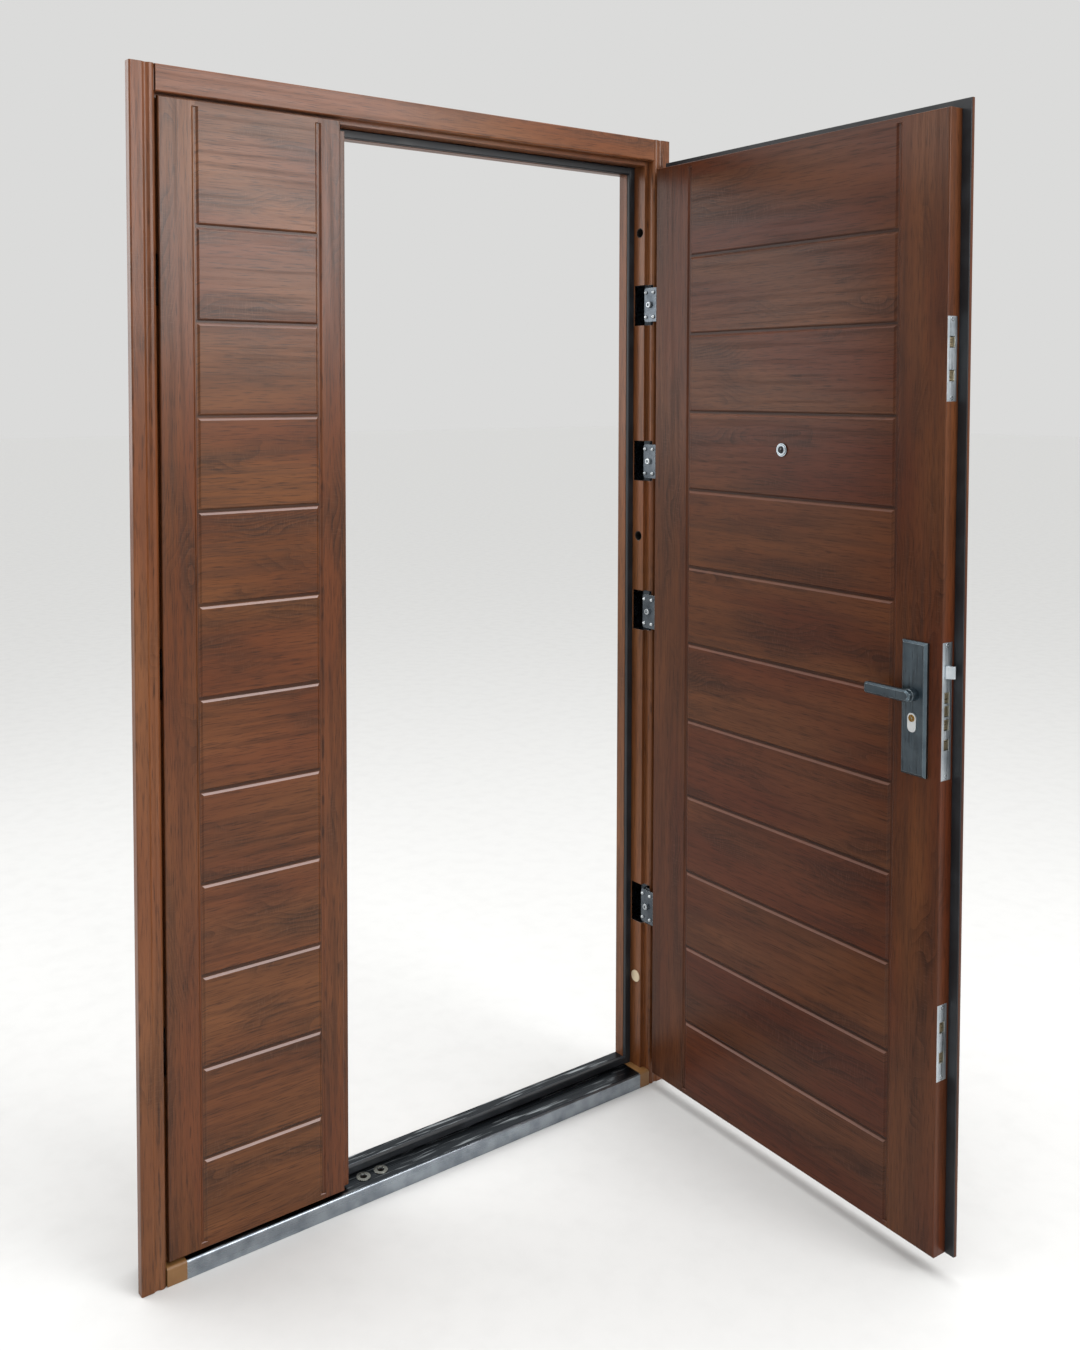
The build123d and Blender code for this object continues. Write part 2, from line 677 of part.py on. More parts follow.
side_sizes = (SIDE_PIVOT_A, SIDE_PIVOT_B, SIDE_KNUCKLE_R, SIDE_HINGE_EDGE)
save("side_hinge_arms", each_hinge(SIDE_HINGE_Z, hinge_arm, *side_sizes))
save("side_leaf_face", side_skin())
save("side_leaf_back", side_pan())
save("side_leaf_gasket", gasket(SIDE_LIP_START, SIDE_FACE_EDGE, SIDE_HINGE_EDGE, SIDE_FACE_EDGE))
strikes = [strike_holes(strike_plate(span)) for span in LOCK_SPANS.values()]
save("strike_plates", Compound(children=strikes))

main_sizes = (MAIN_PIVOT_A, MAIN_PIVOT_B, MAIN_KNUCKLE_R, FRAME_W - MAIN_HINGE_EDGE)
save("main_hinge_arms", opened(mirror_x(each_hinge(HINGE_Z, hinge_arm, *main_sizes))))
save("main_leaf_face", opened(main_skin()))
save("main_leaf_back", opened(main_pan()))
lip_end = MAIN_HINGE_EDGE + MAIN_HINGE_LIP
save("main_leaf_gasket", opened(gasket(MAIN_LIP_EDGE, lip_end, MAIN_FREE_EDGE, MAIN_HINGE_EDGE)))
for name, span in LOCK_SPANS.items():
    save(name + "_lock_plate", opened(plate_holes(lock_plate(span))))
for name, heights in BOLT_HEIGHTS.items():
    save(name + "_deadbolts", opened(Compound(children=[deadbolt(z) for z in heights])))
save("latch_bolt", opened(latch()))
save("inner_handle_plate", opened(handle_plate(INNER_DEPTH, 1)))
save("outer_handle_plate", opened(handle_plate(FACE_DEPTH, -1)))
save("inner_lever", opened(lever(INNER_DEPTH, 1)))
save("outer_lever", opened(lever(FACE_DEPTH, -1)))
save("lever_spindle", opened(spindle()))
save("lock_cylinder", opened(cylinder_lock()))
save("peephole", opened(peephole()))
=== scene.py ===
# %% [markdown]
# # A plank-pressed steel security door
# The door is a wide leaf and a narrow leaf in a folded steel frame. The solids already have their true
# shapes, so this lesson dresses them: it gives each one a finish, adds the small fasteners that are too
# fine for the solids, and sets up the light and the camera. Everything is in metres, with the origin under
# the threshold and Z up.

import json
import math

import bmesh
import bpy
from mathutils import Matrix, Vector


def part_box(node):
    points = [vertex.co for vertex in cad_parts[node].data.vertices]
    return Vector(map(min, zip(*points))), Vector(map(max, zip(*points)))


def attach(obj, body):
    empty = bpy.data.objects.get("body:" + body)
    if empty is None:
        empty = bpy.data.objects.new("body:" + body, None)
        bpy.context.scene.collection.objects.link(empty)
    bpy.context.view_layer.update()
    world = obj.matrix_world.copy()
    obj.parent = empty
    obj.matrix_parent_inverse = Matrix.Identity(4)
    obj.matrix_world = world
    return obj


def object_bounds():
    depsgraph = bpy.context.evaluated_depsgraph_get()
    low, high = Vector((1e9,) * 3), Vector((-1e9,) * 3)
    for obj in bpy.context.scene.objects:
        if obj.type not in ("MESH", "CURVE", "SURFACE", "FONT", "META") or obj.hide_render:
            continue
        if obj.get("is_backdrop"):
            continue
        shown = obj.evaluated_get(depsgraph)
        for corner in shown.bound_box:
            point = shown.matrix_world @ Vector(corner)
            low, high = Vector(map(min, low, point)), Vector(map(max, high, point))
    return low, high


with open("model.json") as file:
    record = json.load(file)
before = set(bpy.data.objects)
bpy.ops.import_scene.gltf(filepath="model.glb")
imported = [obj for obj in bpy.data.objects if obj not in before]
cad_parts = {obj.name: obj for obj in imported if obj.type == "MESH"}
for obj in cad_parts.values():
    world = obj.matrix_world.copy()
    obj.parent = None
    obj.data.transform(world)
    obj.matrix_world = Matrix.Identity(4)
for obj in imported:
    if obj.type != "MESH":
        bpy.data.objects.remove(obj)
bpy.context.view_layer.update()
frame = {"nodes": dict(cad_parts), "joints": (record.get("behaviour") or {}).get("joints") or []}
nodes = frame["nodes"]

# %% [markdown]
# ## The wide leaf stands open
# At rest the wide leaf is swung out, so its solids lie at an angle. Grain, planks and screws are far easier
# to lay out on a closed door. The hinge joint says where the pin is and how far the leaf has to turn back,
# which gives one matrix from closed to open, and its inverse for the textures.

# %% Closed and open
swing = next(j for j in frame["joints"] if j["name"] == "main_leaf_swing")
rest_angle = -math.radians(swing["range_deg"][0])
pin = Matrix.Translation(Vector(swing["pos_m"]))
swing_open = pin @ Matrix.Rotation(rest_angle, 4, "Z") @ pin.inverted()
swing_closed = swing_open.inverted()


def closed_box(node):
    """Lowest and highest corner of a node of the wide leaf when the leaf is shut."""
    points = [swing_closed @ v.co for v in nodes[node].data.vertices]
    low = Vector([min(p[i] for p in points) for i in range(3)])
    high = Vector([max(p[i] for p in points) for i in range(3)])
    return low, high


leaf_low, leaf_high = closed_box("main_leaf_back")
side_low, side_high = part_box("side_leaf_face")
print("wide leaf when shut", [round(v, 4) for v in (*leaf_low, *leaf_high)])

# %% [markdown]
# ## Colours and nodes
# Colours are picked as sRGB hex values, as in any paint program, but shaders calculate in linear light, so
# one function converts them. A second one adds a shader node: settings are its properties, and each input
# gets either a plain value or a link from another node.

# %% Helpers for finishes
MM = 0.001


def tint(code):
    """An sRGB hex value as the linear colour that shaders use."""
    channels = [int(code[i : i + 2], 16) / 255 for i in (1, 3, 5)]
    linear = [c / 12.92 if c <= 0.04045 else ((c + 0.055) / 1.055) ** 2.4 for c in channels]
    return (*linear, 1.0)


def add(tree, kind, inputs=None, **settings):
    """Adds one node, sets its properties, and fills or links its inputs."""
    node = tree.nodes.new("ShaderNode" + kind)
    for name, value in settings.items():
        setattr(node, name, value)
    for key, value in (inputs or {}).items():
        if isinstance(value, bpy.types.NodeSocket):
            tree.links.new(value, node.inputs[key])
        else:
            node.inputs[key].default_value = value
    return node


def finish(name):
    """An empty material with its node tree and its main shader."""
    material = bpy.data.materials.new(name)
    material.use_nodes = True
    return material, material.node_tree, material.node_tree.nodes["Principled BSDF"]


print("mid brown is", [round(c, 3) for c in tint("#6B4A38")])

# %% [markdown]
# Bent sheet and cast metal have no knife edges. Rounding every edge of the mesh would cost many faces, so
# the bevel node is asked instead how a softly bent edge would catch the light. Where its normal leans away
# from the true one there is an edge, so the same node also shows where wear belongs.

# %% Soft edges
BEND_SAMPLES = 4
# how well the two normals agree (1 is fully) where wear starts and where it is full
WEAR_START, WEAR_FULL = 0.995, 0.9


def softened(tree, radius):
    """The normal of a softly bent edge, and a mask that is 1 along that edge."""
    bent = add(tree, "Bevel", {"Radius": radius}, samples=BEND_SAMPLES).outputs[0]
    flat = add(tree, "NewGeometry").outputs["Normal"]
    lean = add(tree, "VectorMath", {0: bent, 1: flat}, operation="DOT_PRODUCT").outputs["Value"]
    edge = {"Value": lean, "From Min": WEAR_START, "From Max": WEAR_FULL}
    return bent, add(tree, "MapRange", edge).outputs[0]


print("wear starts at a lean of", round(math.degrees(math.acos(WEAR_START)), 1), "degrees")

# %% [markdown]
# ## Wood grain printed on steel
# The brown sheet isn't wood: a photographed grain is transferred onto powder-coated steel by heat. It has
# the figure of walnut, with growth rings that arch where the saw met them flat, dark pores, and fine cross
# marks. An image would do it, but it repeats and has to be unwrapped. Noise that is stretched along the
# grain never repeats, and needs only to know which way the grain runs. Planks have it across the door,
# stiles and jambs have it upright, and each plank starts at its own place in the pattern.

# %% Plank layout
PLANK_PITCH = 159.8 * MM
LAST_GROOVE = 10
TOP_PLANK = 192 * MM
WIDE_STILE = 102 * MM
SIDE_STILE = 64.5 * MM
MEETING_STILE = 45 * MM
first_groove = leaf_high.z - TOP_PLANK
wide_grooves = (leaf_low.x + WIDE_STILE, leaf_high.x - WIDE_STILE)
side_grooves = (side_low.x + SIDE_STILE, side_high.x - MEETING_STILE)
print("first groove", round(first_groove, 4), "wide", wide_grooves, "side", side_grooves)

# %% [markdown]
# Each mark of the grain is a spot of noise that is far longer than it is wide, or far wider than it is long
# for the marks of the saw. A pair of limits turns the soft noise into spots with clear ground between them.

# %% Spots of grain
# each pattern: how long and wide its spots are, its fine detail, and the noise where it starts and is full
CLOUD = ((480 * MM, 80 * MM), 2.0, (0.34, 0.66))
BLUSH = ((620 * MM, 150 * MM), 1.0, (0.4, 0.62))
STREAK = ((300 * MM, 9 * MM), 4.0, (0.46, 0.72))
FIGURE = ((260 * MM, 62 * MM), 2.0, (0.48, 0.68))
# real pores are about 0.2 mm wide, and are drawn coarser so that they show in the render
PORE = ((38 * MM, 1.6 * MM), 2.0, (0.53, 0.68))
SAW_MARK = ((1.6 * MM, 14 * MM), 1.0, (0.55, 0.7))


def stretched(tree, point, size, detail):
    """Noise whose spots are as long and as wide as the given size."""
    scale = (1 / size[0], 1 / size[1], 1.0)
    scaled = add(tree, "VectorMath", {0: point, 1: scale}, operation="MULTIPLY").outputs[0]
    return add(tree, "TexNoise", {"Vector": scaled, "Scale": 1.0, "Detail": detail}).outputs[0]


def spots(tree, point, size, detail, limits):
    """Stretched noise that is 0 up to the first limit and 1 from the second."""
    noise = stretched(tree, point, size, detail)
    fade = {"Value": noise, "From Min": limits[0], "From Max": limits[1]}
    return add(tree, "MapRange", fade).outputs[0]


print("pores", [round(s / MM, 1) for s in PORE[0]], "mm, streaks", [round(s / MM) for s in STREAK[0]], "mm")

# %% [markdown]
# Growth rings are bands across the grain. A slow noise pushes the bands up and down by many rings, which
# bends them into the arches of a flat-sawn board. Each ring darkens slowly and ends sharply, as late wood
# does, and the rings only show where the figure is strong.

# %% Grain pattern
RING_SPACING = 9 * MM
# size and detail of the noise that bends the rings, and by how many rings
RING_BEND = ((340 * MM, 120 * MM), 2.0)
RING_WANDER = 24.0
LATE_WOOD_POWER = 2.0
# how far apart, in metres, two planks may start in the pattern
START_SPREAD = (9.0, 5.0, 7.0)


def grain(tree, along, across, depth, seed):
    """All patterns of the print, each from 0 to 1, at a point along and across the grain."""
    flat = add(tree, "CombineXYZ", {0: along, 1: across, 2: depth}).outputs[0]
    start = {0: seed, 1: START_SPREAD, 2: flat}
    point = add(tree, "VectorMath", start, operation="MULTIPLY_ADD").outputs[0]
    figure = spots(tree, point, *FIGURE)
    bend = {0: stretched(tree, point, *RING_BEND), 1: RING_WANDER}
    bend = add(tree, "Math", bend, operation="MULTIPLY").outputs[0]
    count = {0: across, 1: 1 / RING_SPACING, 2: bend}
    phase = add(tree, "Math", count, operation="MULTIPLY_ADD").outputs[0]
    ring = add(tree, "Math", {0: phase}, operation="FRACT").outputs[0]
    late = add(tree, "Math", {0: ring, 1: LATE_WOOD_POWER}, operation="POWER").outputs[0]
    marks = spots(tree, point, *SAW_MARK)
    return {
        "cloud": spots(tree, point, *CLOUD),
        "blush": spots(tree, point, *BLUSH),
        "streaks": spots(tree, point, *STREAK),
        "figure": figure,
        "rings": add(tree, "Math", {0: late, 1: figure}, operation="MULTIPLY").outputs[0],
        "pores": spots(tree, point, *PORE),
        "marks": add(tree, "Math", {0: marks, 1: figure}, operation="MULTIPLY").outputs[0],
    }


print("rings every", round(RING_SPACING / MM, 1), "mm")

# %% [markdown]
# A painted highlight lies on what looks up: here the lower slopes of the pressed channels, as if they caught
# the light from above. The normal's Z finds them. The highlight is painted strongest on the lower half of the
# door, and it thins out towards the head.

# %% Painted highlight on the slopes
# Z of the normal where the painted highlight starts and where it is full
SLOPE_LIMITS = (0.3, 0.65)
# heights in metres between which it thins out, and what is left at the top
HIGHLIGHT_LOW, HIGHLIGHT_HIGH = 1.1, 1.9
HIGHLIGHT_LEFT = 0.15


def painted_slope_highlight(tree):
    """A mask of painted highlight on faces that look up."""
    looks_up = add(tree, "SeparateXYZ", {0: add(tree, "NewGeometry").outputs["Normal"]}).outputs[2]
    lies = {"Value": looks_up, "From Min": SLOPE_LIMITS[0], "From Max": SLOPE_LIMITS[1]}
    lies = add(tree, "MapRange", lies).outputs[0]
    place = add(tree, "TexCoord").outputs["Object"]
    height = add(tree, "SeparateXYZ", {0: place}).outputs[2]
    thins = {"Value": height, "From Min": HIGHLIGHT_LOW, "From Max": HIGHLIGHT_HIGH}
    thins.update({"To Min": 1.0, "To Max": HIGHLIGHT_LEFT})
    thins = add(tree, "MapRange", thins).outputs[0]
    return add(tree, "Math", {0: lies, 1: thins}, operation="MULTIPLY").outputs[0]


print("dust thins out from", HIGHLIGHT_LOW, "to", HIGHLIGHT_HIGH, "m")

# %% [markdown]
# The print itself is satin: a base colour that drifts in long clouds, then darker streaks, rings and pores,
# then painted shade in the pressed channels and a painted highlight on their lower slopes. Bent edges are a
# little paler, because the film is stretched thin there. A thin clear coat over it gives the soft second
# reflection.

# %% Printed steel
# tone and share of each layer, in the order in which they go on
LAYERS = {
    "blush": ("red", 0.55),
    "streaks": ("deep", 0.45),
    "figure": ("smoke", 0.36),
    "rings": ("deep", 0.74),
    "pores": ("black", 0.56),
    "marks": ("bare", 0.09),
    # painted shade in the channels, strongest on their floor and upper slope
    "painted_channel_shade": ("black", 0.66),
    "edge": ("bare", 0.22),
    # painted highlight on the slopes that look up, standing in for the light from above
    "painted_highlight": ("painted_highlight", 0.5),
}
DARK_INKS = ("streaks", "figure", "rings", "pores")
PLANK_SHARE = 0.45
SHEET_BEND = 1.2 * MM
SATIN_ROUGHNESS = (0.3, 0.42)
COAT_ROUGHNESS = 0.2
PORE_SINK = 0.6
PRINT_RELIEF = 0.15 * MM
PRINT_BUMP = 0.2


def printed_steel(name, tones, layout, gleam, coat, ink):
    """A satin print: colours by grain, gloss that follows the streaks, and softly bent edges."""
    material, tree, shader = finish(name)
    along, across, depth, seed, painted_channel_shade = layout(tree)
    amounts = grain(tree, along, across, depth, seed)
    bent, edge = softened(tree, SHEET_BEND)
    amounts.update({"painted_channel_shade": painted_channel_shade, "edge": edge, "painted_highlight": painted_slope_highlight(tree)})
    # every plank has a tone of its own, and the cloud drifts round it
    own = add(tree, "SeparateXYZ", {0: seed}).outputs[1]
    base = {0: own, 1: PLANK_SHARE, 2: amounts["cloud"]}
    base = add(tree, "Math", base, operation="MULTIPLY_ADD").outputs[0]
    base = add(tree, "MapRange", {"Value": base, "From Max": 1.0 + PLANK_SHARE}).outputs[0]
    colour = {0: base, 6: tint(tones["pale"]), 7: tint(tones["warm"])}
    colour = add(tree, "Mix", colour, data_type="RGBA").outputs[2]
    for layer, (tone, share) in LAYERS.items():
        strength = share * (ink if layer in DARK_INKS else 1.0)
        part = add(tree, "Math", {0: amounts[layer], 1: strength}, operation="MULTIPLY").outputs[0]
        mixed = {0: part, 6: colour, 7: tint(tones[tone])}
        colour = add(tree, "Mix", mixed, data_type="RGBA").outputs[2]
    tree.links.new(colour, shader.inputs["Base Color"])
    gloss = {"Value": amounts["streaks"], "To Min": SATIN_ROUGHNESS[0], "To Max": SATIN_ROUGHNESS[1]}
    tree.links.new(add(tree, "MapRange", gloss).outputs[0], shader.inputs["Roughness"])
    shader.inputs["Specular IOR Level"].default_value = gleam
    shader.inputs["Coat Weight"].default_value = coat
    shader.inputs["Coat Roughness"].default_value = COAT_ROUGHNESS
    relief = {0: amounts["pores"], 1: -PORE_SINK, 2: amounts["streaks"]}
    relief = add(tree, "Math", relief, operation="MULTIPLY_ADD").outputs[0]
    bump = {"Height": relief, "Normal": bent, "Strength": PRINT_BUMP, "Distance": PRINT_RELIEF}
    tree.links.new(add(tree, "Bump", bump).outputs[0], shader.inputs["Normal"])
    return material


print("layers over the base", list(LAYERS))

# %% [markdown]
# ## Which way the grain runs
# The way of the grain, and the places of the channels, differ from sheet to sheet. A layout reads the point
# on the closed door and hands back the way along the grain, the way across it, the depth, a start that is
# its own for each plank, and how close the point is to the floor of a channel. That last value sets the
# painted shade in the channels, and is worked out first.

# %% Painted shade in the channels
# the painted shade sits above the middle of a cross channel, on its upper slope, and is weaker in an upright
# one
SHADE_LIFT = 1.6 * MM
UPRIGHT_EASE = 2.4 * MM
# upright channels stop short of the leaf's ends
GROOVE_END = 10 * MM
# distance from the middle of a channel where the painted shade is full and where it ends
RUT_FULL, RUT_END = 1.5 * MM, 4 * MM


def channel_shade(tree, z, down, beyond, stile, low, high):
    """Painted shade: 1 on the floor of the nearest channel, cross or upright, and 0 away from it."""
    step = add(tree, "Math", {0: down}, operation="ROUND").outputs[0]
    step = add(tree, "Clamp", {"Value": step, "Min": 0.0, "Max": LAST_GROOVE}).outputs[0]
    cross = add(tree, "Math", {0: down, 1: step}, operation="SUBTRACT").outputs[0]
    lift = {0: cross, 1: PLANK_PITCH, 2: SHADE_LIFT}
    cross = add(tree, "Math", lift, operation="MULTIPLY_ADD").outputs[0]
    cross = add(tree, "Math", {0: cross}, operation="ABSOLUTE").outputs[0]
    # a stile has no cross channels, so there they are put a metre away
    cross = add(tree, "Math", {0: cross, 1: stile}, operation="ADD").outputs[0]
    upright = add(tree, "Math", {0: beyond}, operation="ABSOLUTE").outputs[0]
    upright = add(tree, "Math", {0: upright, 1: UPRIGHT_EASE}, operation="ADD").outputs[0]
    under = add(tree, "Math", {0: low + GROOVE_END, 1: z}, operation="SUBTRACT").outputs[0]
    over = add(tree, "Math", {0: z, 1: high - GROOVE_END}, operation="SUBTRACT").outputs[0]
    ends = add(tree, "Math", {0: under, 1: over}, operation="MAXIMUM").outputs[0]
    upright = add(tree, "Math", {0: upright, 1: ends}, operation="MAXIMUM").outputs[0]
    near = add(tree, "Math", {0: cross, 1: upright}, operation="MINIMUM").outputs[0]
    painted_channel_shade = {"Value": near, "From Min": RUT_FULL, "From Max": RUT_END, "To Min": 1.0, "To Max": 0.0}
    return add(tree, "MapRange", painted_channel_shade).outputs[0]


print("channel shade ends", round(RUT_END / MM, 1), "mm from the middle")

# %% [markdown]
# A leaf has planks between two stiles. The planks are counted from the top, and the count, with the stiles
# numbered past the last plank, picks a random start for each of them. Numbers that stay the same give the
# same door every time.

# %% Layout of a leaf
LEFT_STILE, STILE_STEP = 40.0, 20.0
WIDE_SERIES, SIDE_SERIES = 7.0, 107.0


def leaf_layout(grooves, low, high, stands_open, series):
    """Grain across the planks and upright on the stiles of a leaf."""

    def layout(tree):
        place = add(tree, "TexCoord").outputs["Object"]
        if stands_open:
            turn = {"Vector": place, "Location": swing_closed.to_translation()}
            turn["Rotation"] = swing_closed.to_euler()
            place = add(tree, "Mapping", turn).outputs[0]
        x, y, z = add(tree, "SeparateXYZ", {0: place}).outputs
        # distance outside the pair of upright channels, negative on the planks
        middle = (grooves[0] + grooves[1]) / 2
        aside = add(tree, "Math", {0: x, 1: middle}, operation="SUBTRACT").outputs[0]
        beyond = add(tree, "Math", {0: aside}, operation="ABSOLUTE").outputs[0]
        beyond = add(tree, "Math", {0: beyond, 1: grooves[1] - middle}, operation="SUBTRACT").outputs[0]
        stile = add(tree, "Math", {0: beyond, 1: 0.0}, operation="GREATER_THAN").outputs[0]
        # depth is added across the grain, so the pattern runs on round the folded edges
        along = add(tree, "Mix", {0: stile, 2: x, 3: z}).outputs[0]
        across = add(tree, "Mix", {0: stile, 2: z, 3: x}).outputs[0]
        across = add(tree, "Math", {0: across, 1: y}, operation="ADD").outputs[0]
        # planks are counted down from the first channel
        down = add(tree, "Math", {0: first_groove, 1: z}, operation="SUBTRACT").outputs[0]
        down = add(tree, "Math", {0: down, 1: PLANK_PITCH}, operation="DIVIDE").outputs[0]
        plank = add(tree, "Math", {0: down}, operation="FLOOR").outputs[0]
        right = add(tree, "Math", {0: aside, 1: 0.0}, operation="GREATER_THAN").outputs[0]
        upright = {0: right, 1: STILE_STEP, 2: LEFT_STILE}
        upright = add(tree, "Math", upright, operation="MULTIPLY_ADD").outputs[0]
        number = add(tree, "Mix", {0: stile, 2: plank, 3: upright}).outputs[0]
        number = add(tree, "Math", {0: number, 1: series}, operation="ADD").outputs[0]
        seed = add(tree, "TexWhiteNoise", {"W": number}, noise_dimensions="1D").outputs["Color"]
        return along, across, y, seed, channel_shade(tree, z, down, beyond, stile, low, high)

    return layout


wide_layout = leaf_layout(wide_grooves, leaf_low.z, leaf_high.z, True, WIDE_SERIES)
side_layout = leaf_layout(side_grooves, side_low.z, side_high.z, False, SIDE_SERIES)
print("planks are numbered from", WIDE_SERIES, "and from", SIDE_SERIES)

# %% [markdown]
# A jamb or the head is one long bar with no channels, so its layout is much shorter: the grain runs along
# the bar, and the whole bar has one start.

# %% Layout of a bar
JAMB_NUMBER, HEAD_NUMBER = 3.0, 5.0


def bar_layout(upright, number):
    """Grain along a jamb or along the head, which have no channels."""

    def layout(tree):
        place = add(tree, "TexCoord").outputs["Object"]
        x, y, z = add(tree, "SeparateXYZ", {0: place}).outputs
        along, across = (z, x) if upright else (x, z)
        across = add(tree, "Math", {0: across, 1: y}, operation="ADD").outputs[0]
        seed = add(tree, "TexWhiteNoise", {"W": number}, noise_dimensions="1D").outputs["Color"]
        return along, across, y, seed, 0.0

    return layout


jamb_layout = bar_layout(True, JAMB_NUMBER)
head_layout = bar_layout(False, HEAD_NUMBER)
print("bars have the numbers", JAMB_NUMBER, "and", HEAD_NUMBER)

# %% [markdown]
# Three sets of tones go through the one recipe. They are lit and shaded copies of one print, with light and
# shade painted in: the frame is the palest, the narrow leaf comes next, and the wide leaf has the darkest
# tones, as painted shade, and the least shiny print. Gleam is the strength of the reflection, coat is the
# share of the clear coat, and ink is how heavily the dark grain is printed.

# %% The four prints
# the three sets are one print, made paler or darker as painted light and shade
frame_tones = {"pale": "#815233", "warm": "#6A4122", "red": "#69351B", "smoke": "#4A2D18"}
frame_tones.update({"deep": "#422411", "black": "#26130A", "bare": "#A07C66", "painted_highlight": "#A58A7D"})
side_tones = {"pale": "#724525", "warm": "#573116", "red": "#5C2A13", "smoke": "#382313"}
side_tones.update({"deep": "#301809", "black": "#1B0C06", "bare": "#94705C", "painted_highlight": "#C6AEA9"})
wide_tones = {"pale": "#623A21", "warm": "#482614", "red": "#4B1C0E", "smoke": "#2D1A10"}
wide_tones.update({"deep": "#261108", "black": "#180A05", "bare": "#8C6655", "painted_highlight": "#8A665A"})
FRAME_SHEEN = {"gleam": 0.25, "coat": 0.1, "ink": 1.0}
SIDE_SHEEN = {"gleam": 0.25, "coat": 0.1, "ink": 1.08}
WIDE_SHEEN = {"gleam": 0.16, "coat": 0.05, "ink": 0.95}
# walnut transfer print on powder-coated steel: brown figure under an even satin sheen
wide_print = printed_steel("walnut_print_on_wide_leaf", wide_tones, wide_layout, **WIDE_SHEEN)
side_print = printed_steel("walnut_print_on_narrow_leaf", side_tones, side_layout, **SIDE_SHEEN)
jamb_print = printed_steel("walnut_print_on_jambs", frame_tones, jamb_layout, **FRAME_SHEEN)
head_print = printed_steel("walnut_print_on_head", frame_tones, head_layout, **FRAME_SHEEN)
print("prints", [m.name for m in (wide_print, side_print, jamb_print, head_print)])

# %% [markdown]
# ## Metals
# The threshold is folded stainless sheet, the lock plates are brushed stainless, the hinges are zinc-plated
# steel, the bolts have a yellow zinc plating, and the handle has a satin gunmetal one. All of them are
# metals to the shader, so their colour is the colour of what they reflect. What tells them apart is
# roughness, and the direction of the fine scratches, which stretched noise gives again. Edges are rubbed
# bright by hands and tools.

# %% Metal finish
STAIN_SIZE = 35 * MM
STAIN_LIMITS = (0.4, 0.7)
STAIN_DETAIL = 4.0
SCRATCH_LIMITS = (0.3, 0.7)
SCRATCH_DETAIL = 3.0
SCRATCH_DEPTH = 0.05 * MM
# shares of the roughness between the scratches and in them
SCRATCH_GLOSS = (0.75, 1.3)
METAL_BEND = 0.6 * MM
RUBBED_SHARE = 0.7
SURFACE_BUMP = 0.3


def metal(name, tone, stain, rubbed, rough, scratch):
    """A metal with scratches of a given length along X, Y and Z, and edges that are rubbed bright."""
    material, tree, shader = finish(name)
    place = add(tree, "TexCoord").outputs["Object"]
    scale = tuple(1 / (s * MM) for s in scratch)
    lines = add(tree, "VectorMath", {0: place, 1: scale}, operation="MULTIPLY").outputs[0]
    lines = add(tree, "TexNoise", {"Vector": lines, "Scale": 1.0, "Detail": SCRATCH_DETAIL}).outputs[0]
    cloud = {"Vector": place, "Scale": 1 / STAIN_SIZE, "Detail": STAIN_DETAIL}
    cloud = add(tree, "TexNoise", cloud).outputs[0]
    blotch = {"Value": cloud, "From Min": STAIN_LIMITS[0], "From Max": STAIN_LIMITS[1]}
    colour = {0: add(tree, "MapRange", blotch).outputs[0], 6: tint(tone), 7: tint(stain)}
    colour = add(tree, "Mix", colour, data_type="RGBA").outputs[2]
    bent, edge = softened(tree, METAL_BEND)
    rub = add(tree, "Math", {0: edge, 1: RUBBED_SHARE}, operation="MULTIPLY").outputs[0]
    colour = {0: rub, 6: colour, 7: tint(rubbed)}
    colour = add(tree, "Mix", colour, data_type="RGBA").outputs[2]
    tree.links.new(colour, shader.inputs["Base Color"])
    shader.inputs["Metallic"].default_value = 1.0
    gloss = {"Value": lines, "From Min": SCRATCH_LIMITS[0], "From Max": SCRATCH_LIMITS[1]}
    gloss.update({"To Min": rough * SCRATCH_GLOSS[0], "To Max": rough * SCRATCH_GLOSS[1]})
    tree.links.new(add(tree, "MapRange", gloss).outputs[0], shader.inputs["Roughness"])
    bump = {"Height": lines, "Normal": bent, "Strength": SURFACE_BUMP, "Distance": SCRATCH_DEPTH}
    tree.links.new(add(tree, "Bump", bump).outputs[0], shader.inputs["Normal"])
    return material


print("stains of", round(STAIN_SIZE / MM), "mm on every metal")

# %% [markdown]
# Each metal below has its own colour, its colour where stained, its colour where rubbed, its roughness, and
# the length of its scratches along X, Y and Z in millimetres. Real brush lines are about 0.1 mm apart. They
# are drawn coarser, or the render would lose them.

# %% The metals
# brushed along the doorway: reflections are drawn out sideways
sill_steel = metal("stainless_sheet_brushed", "#9AA1A8", "#7C838B", "#D5DCE0", 0.3, (400, 3, 3))
# brushed upright: a pale plate with a soft sheen from top to bottom
lock_steel = metal("stainless_plate_brushed", "#D6DDE2", "#B2BBC2", "#F0F4F6", 0.32, (2, 2, 90))
# plated and handled: dull grey with bright edges
zinc = metal("zinc_plated_steel", "#5C6268", "#43494F", "#D8DDE0", 0.28, (5, 5, 5))
# plated and untouched: small heads that sparkle against the plates
bright_zinc = metal("zinc_plated_fastener", "#C4C9CC", "#9BA1A6", "#EEF1F2", 0.24, (3, 3, 3))
# satin plating, brushed upright: a cool dark grey with no sharp mirror image
gunmetal = metal("gunmetal_plating_satin", "#5E6B73", "#4D5860", "#C6D0D4", 0.34, (2, 2, 50))
# polished plating: a nearly sharp mirror
chrome = metal("chrome_plating_bright", "#8E969B", "#727A80", "#F2F4F5", 0.12, (8, 8, 8))
# satin plating: almost white, with only a soft reflection
nickel = metal("nickel_plating_satin", "#E3E7E8", "#CDD3D5", "#F6F8F8", 0.5, (4, 4, 4))
# yellow-passivated zinc on the bolts: dull straw
bolt_steel = metal("zinc_plating_yellow", "#B5A688", "#8C7E65", "#E6DCC4", 0.3, (60, 60, 2))
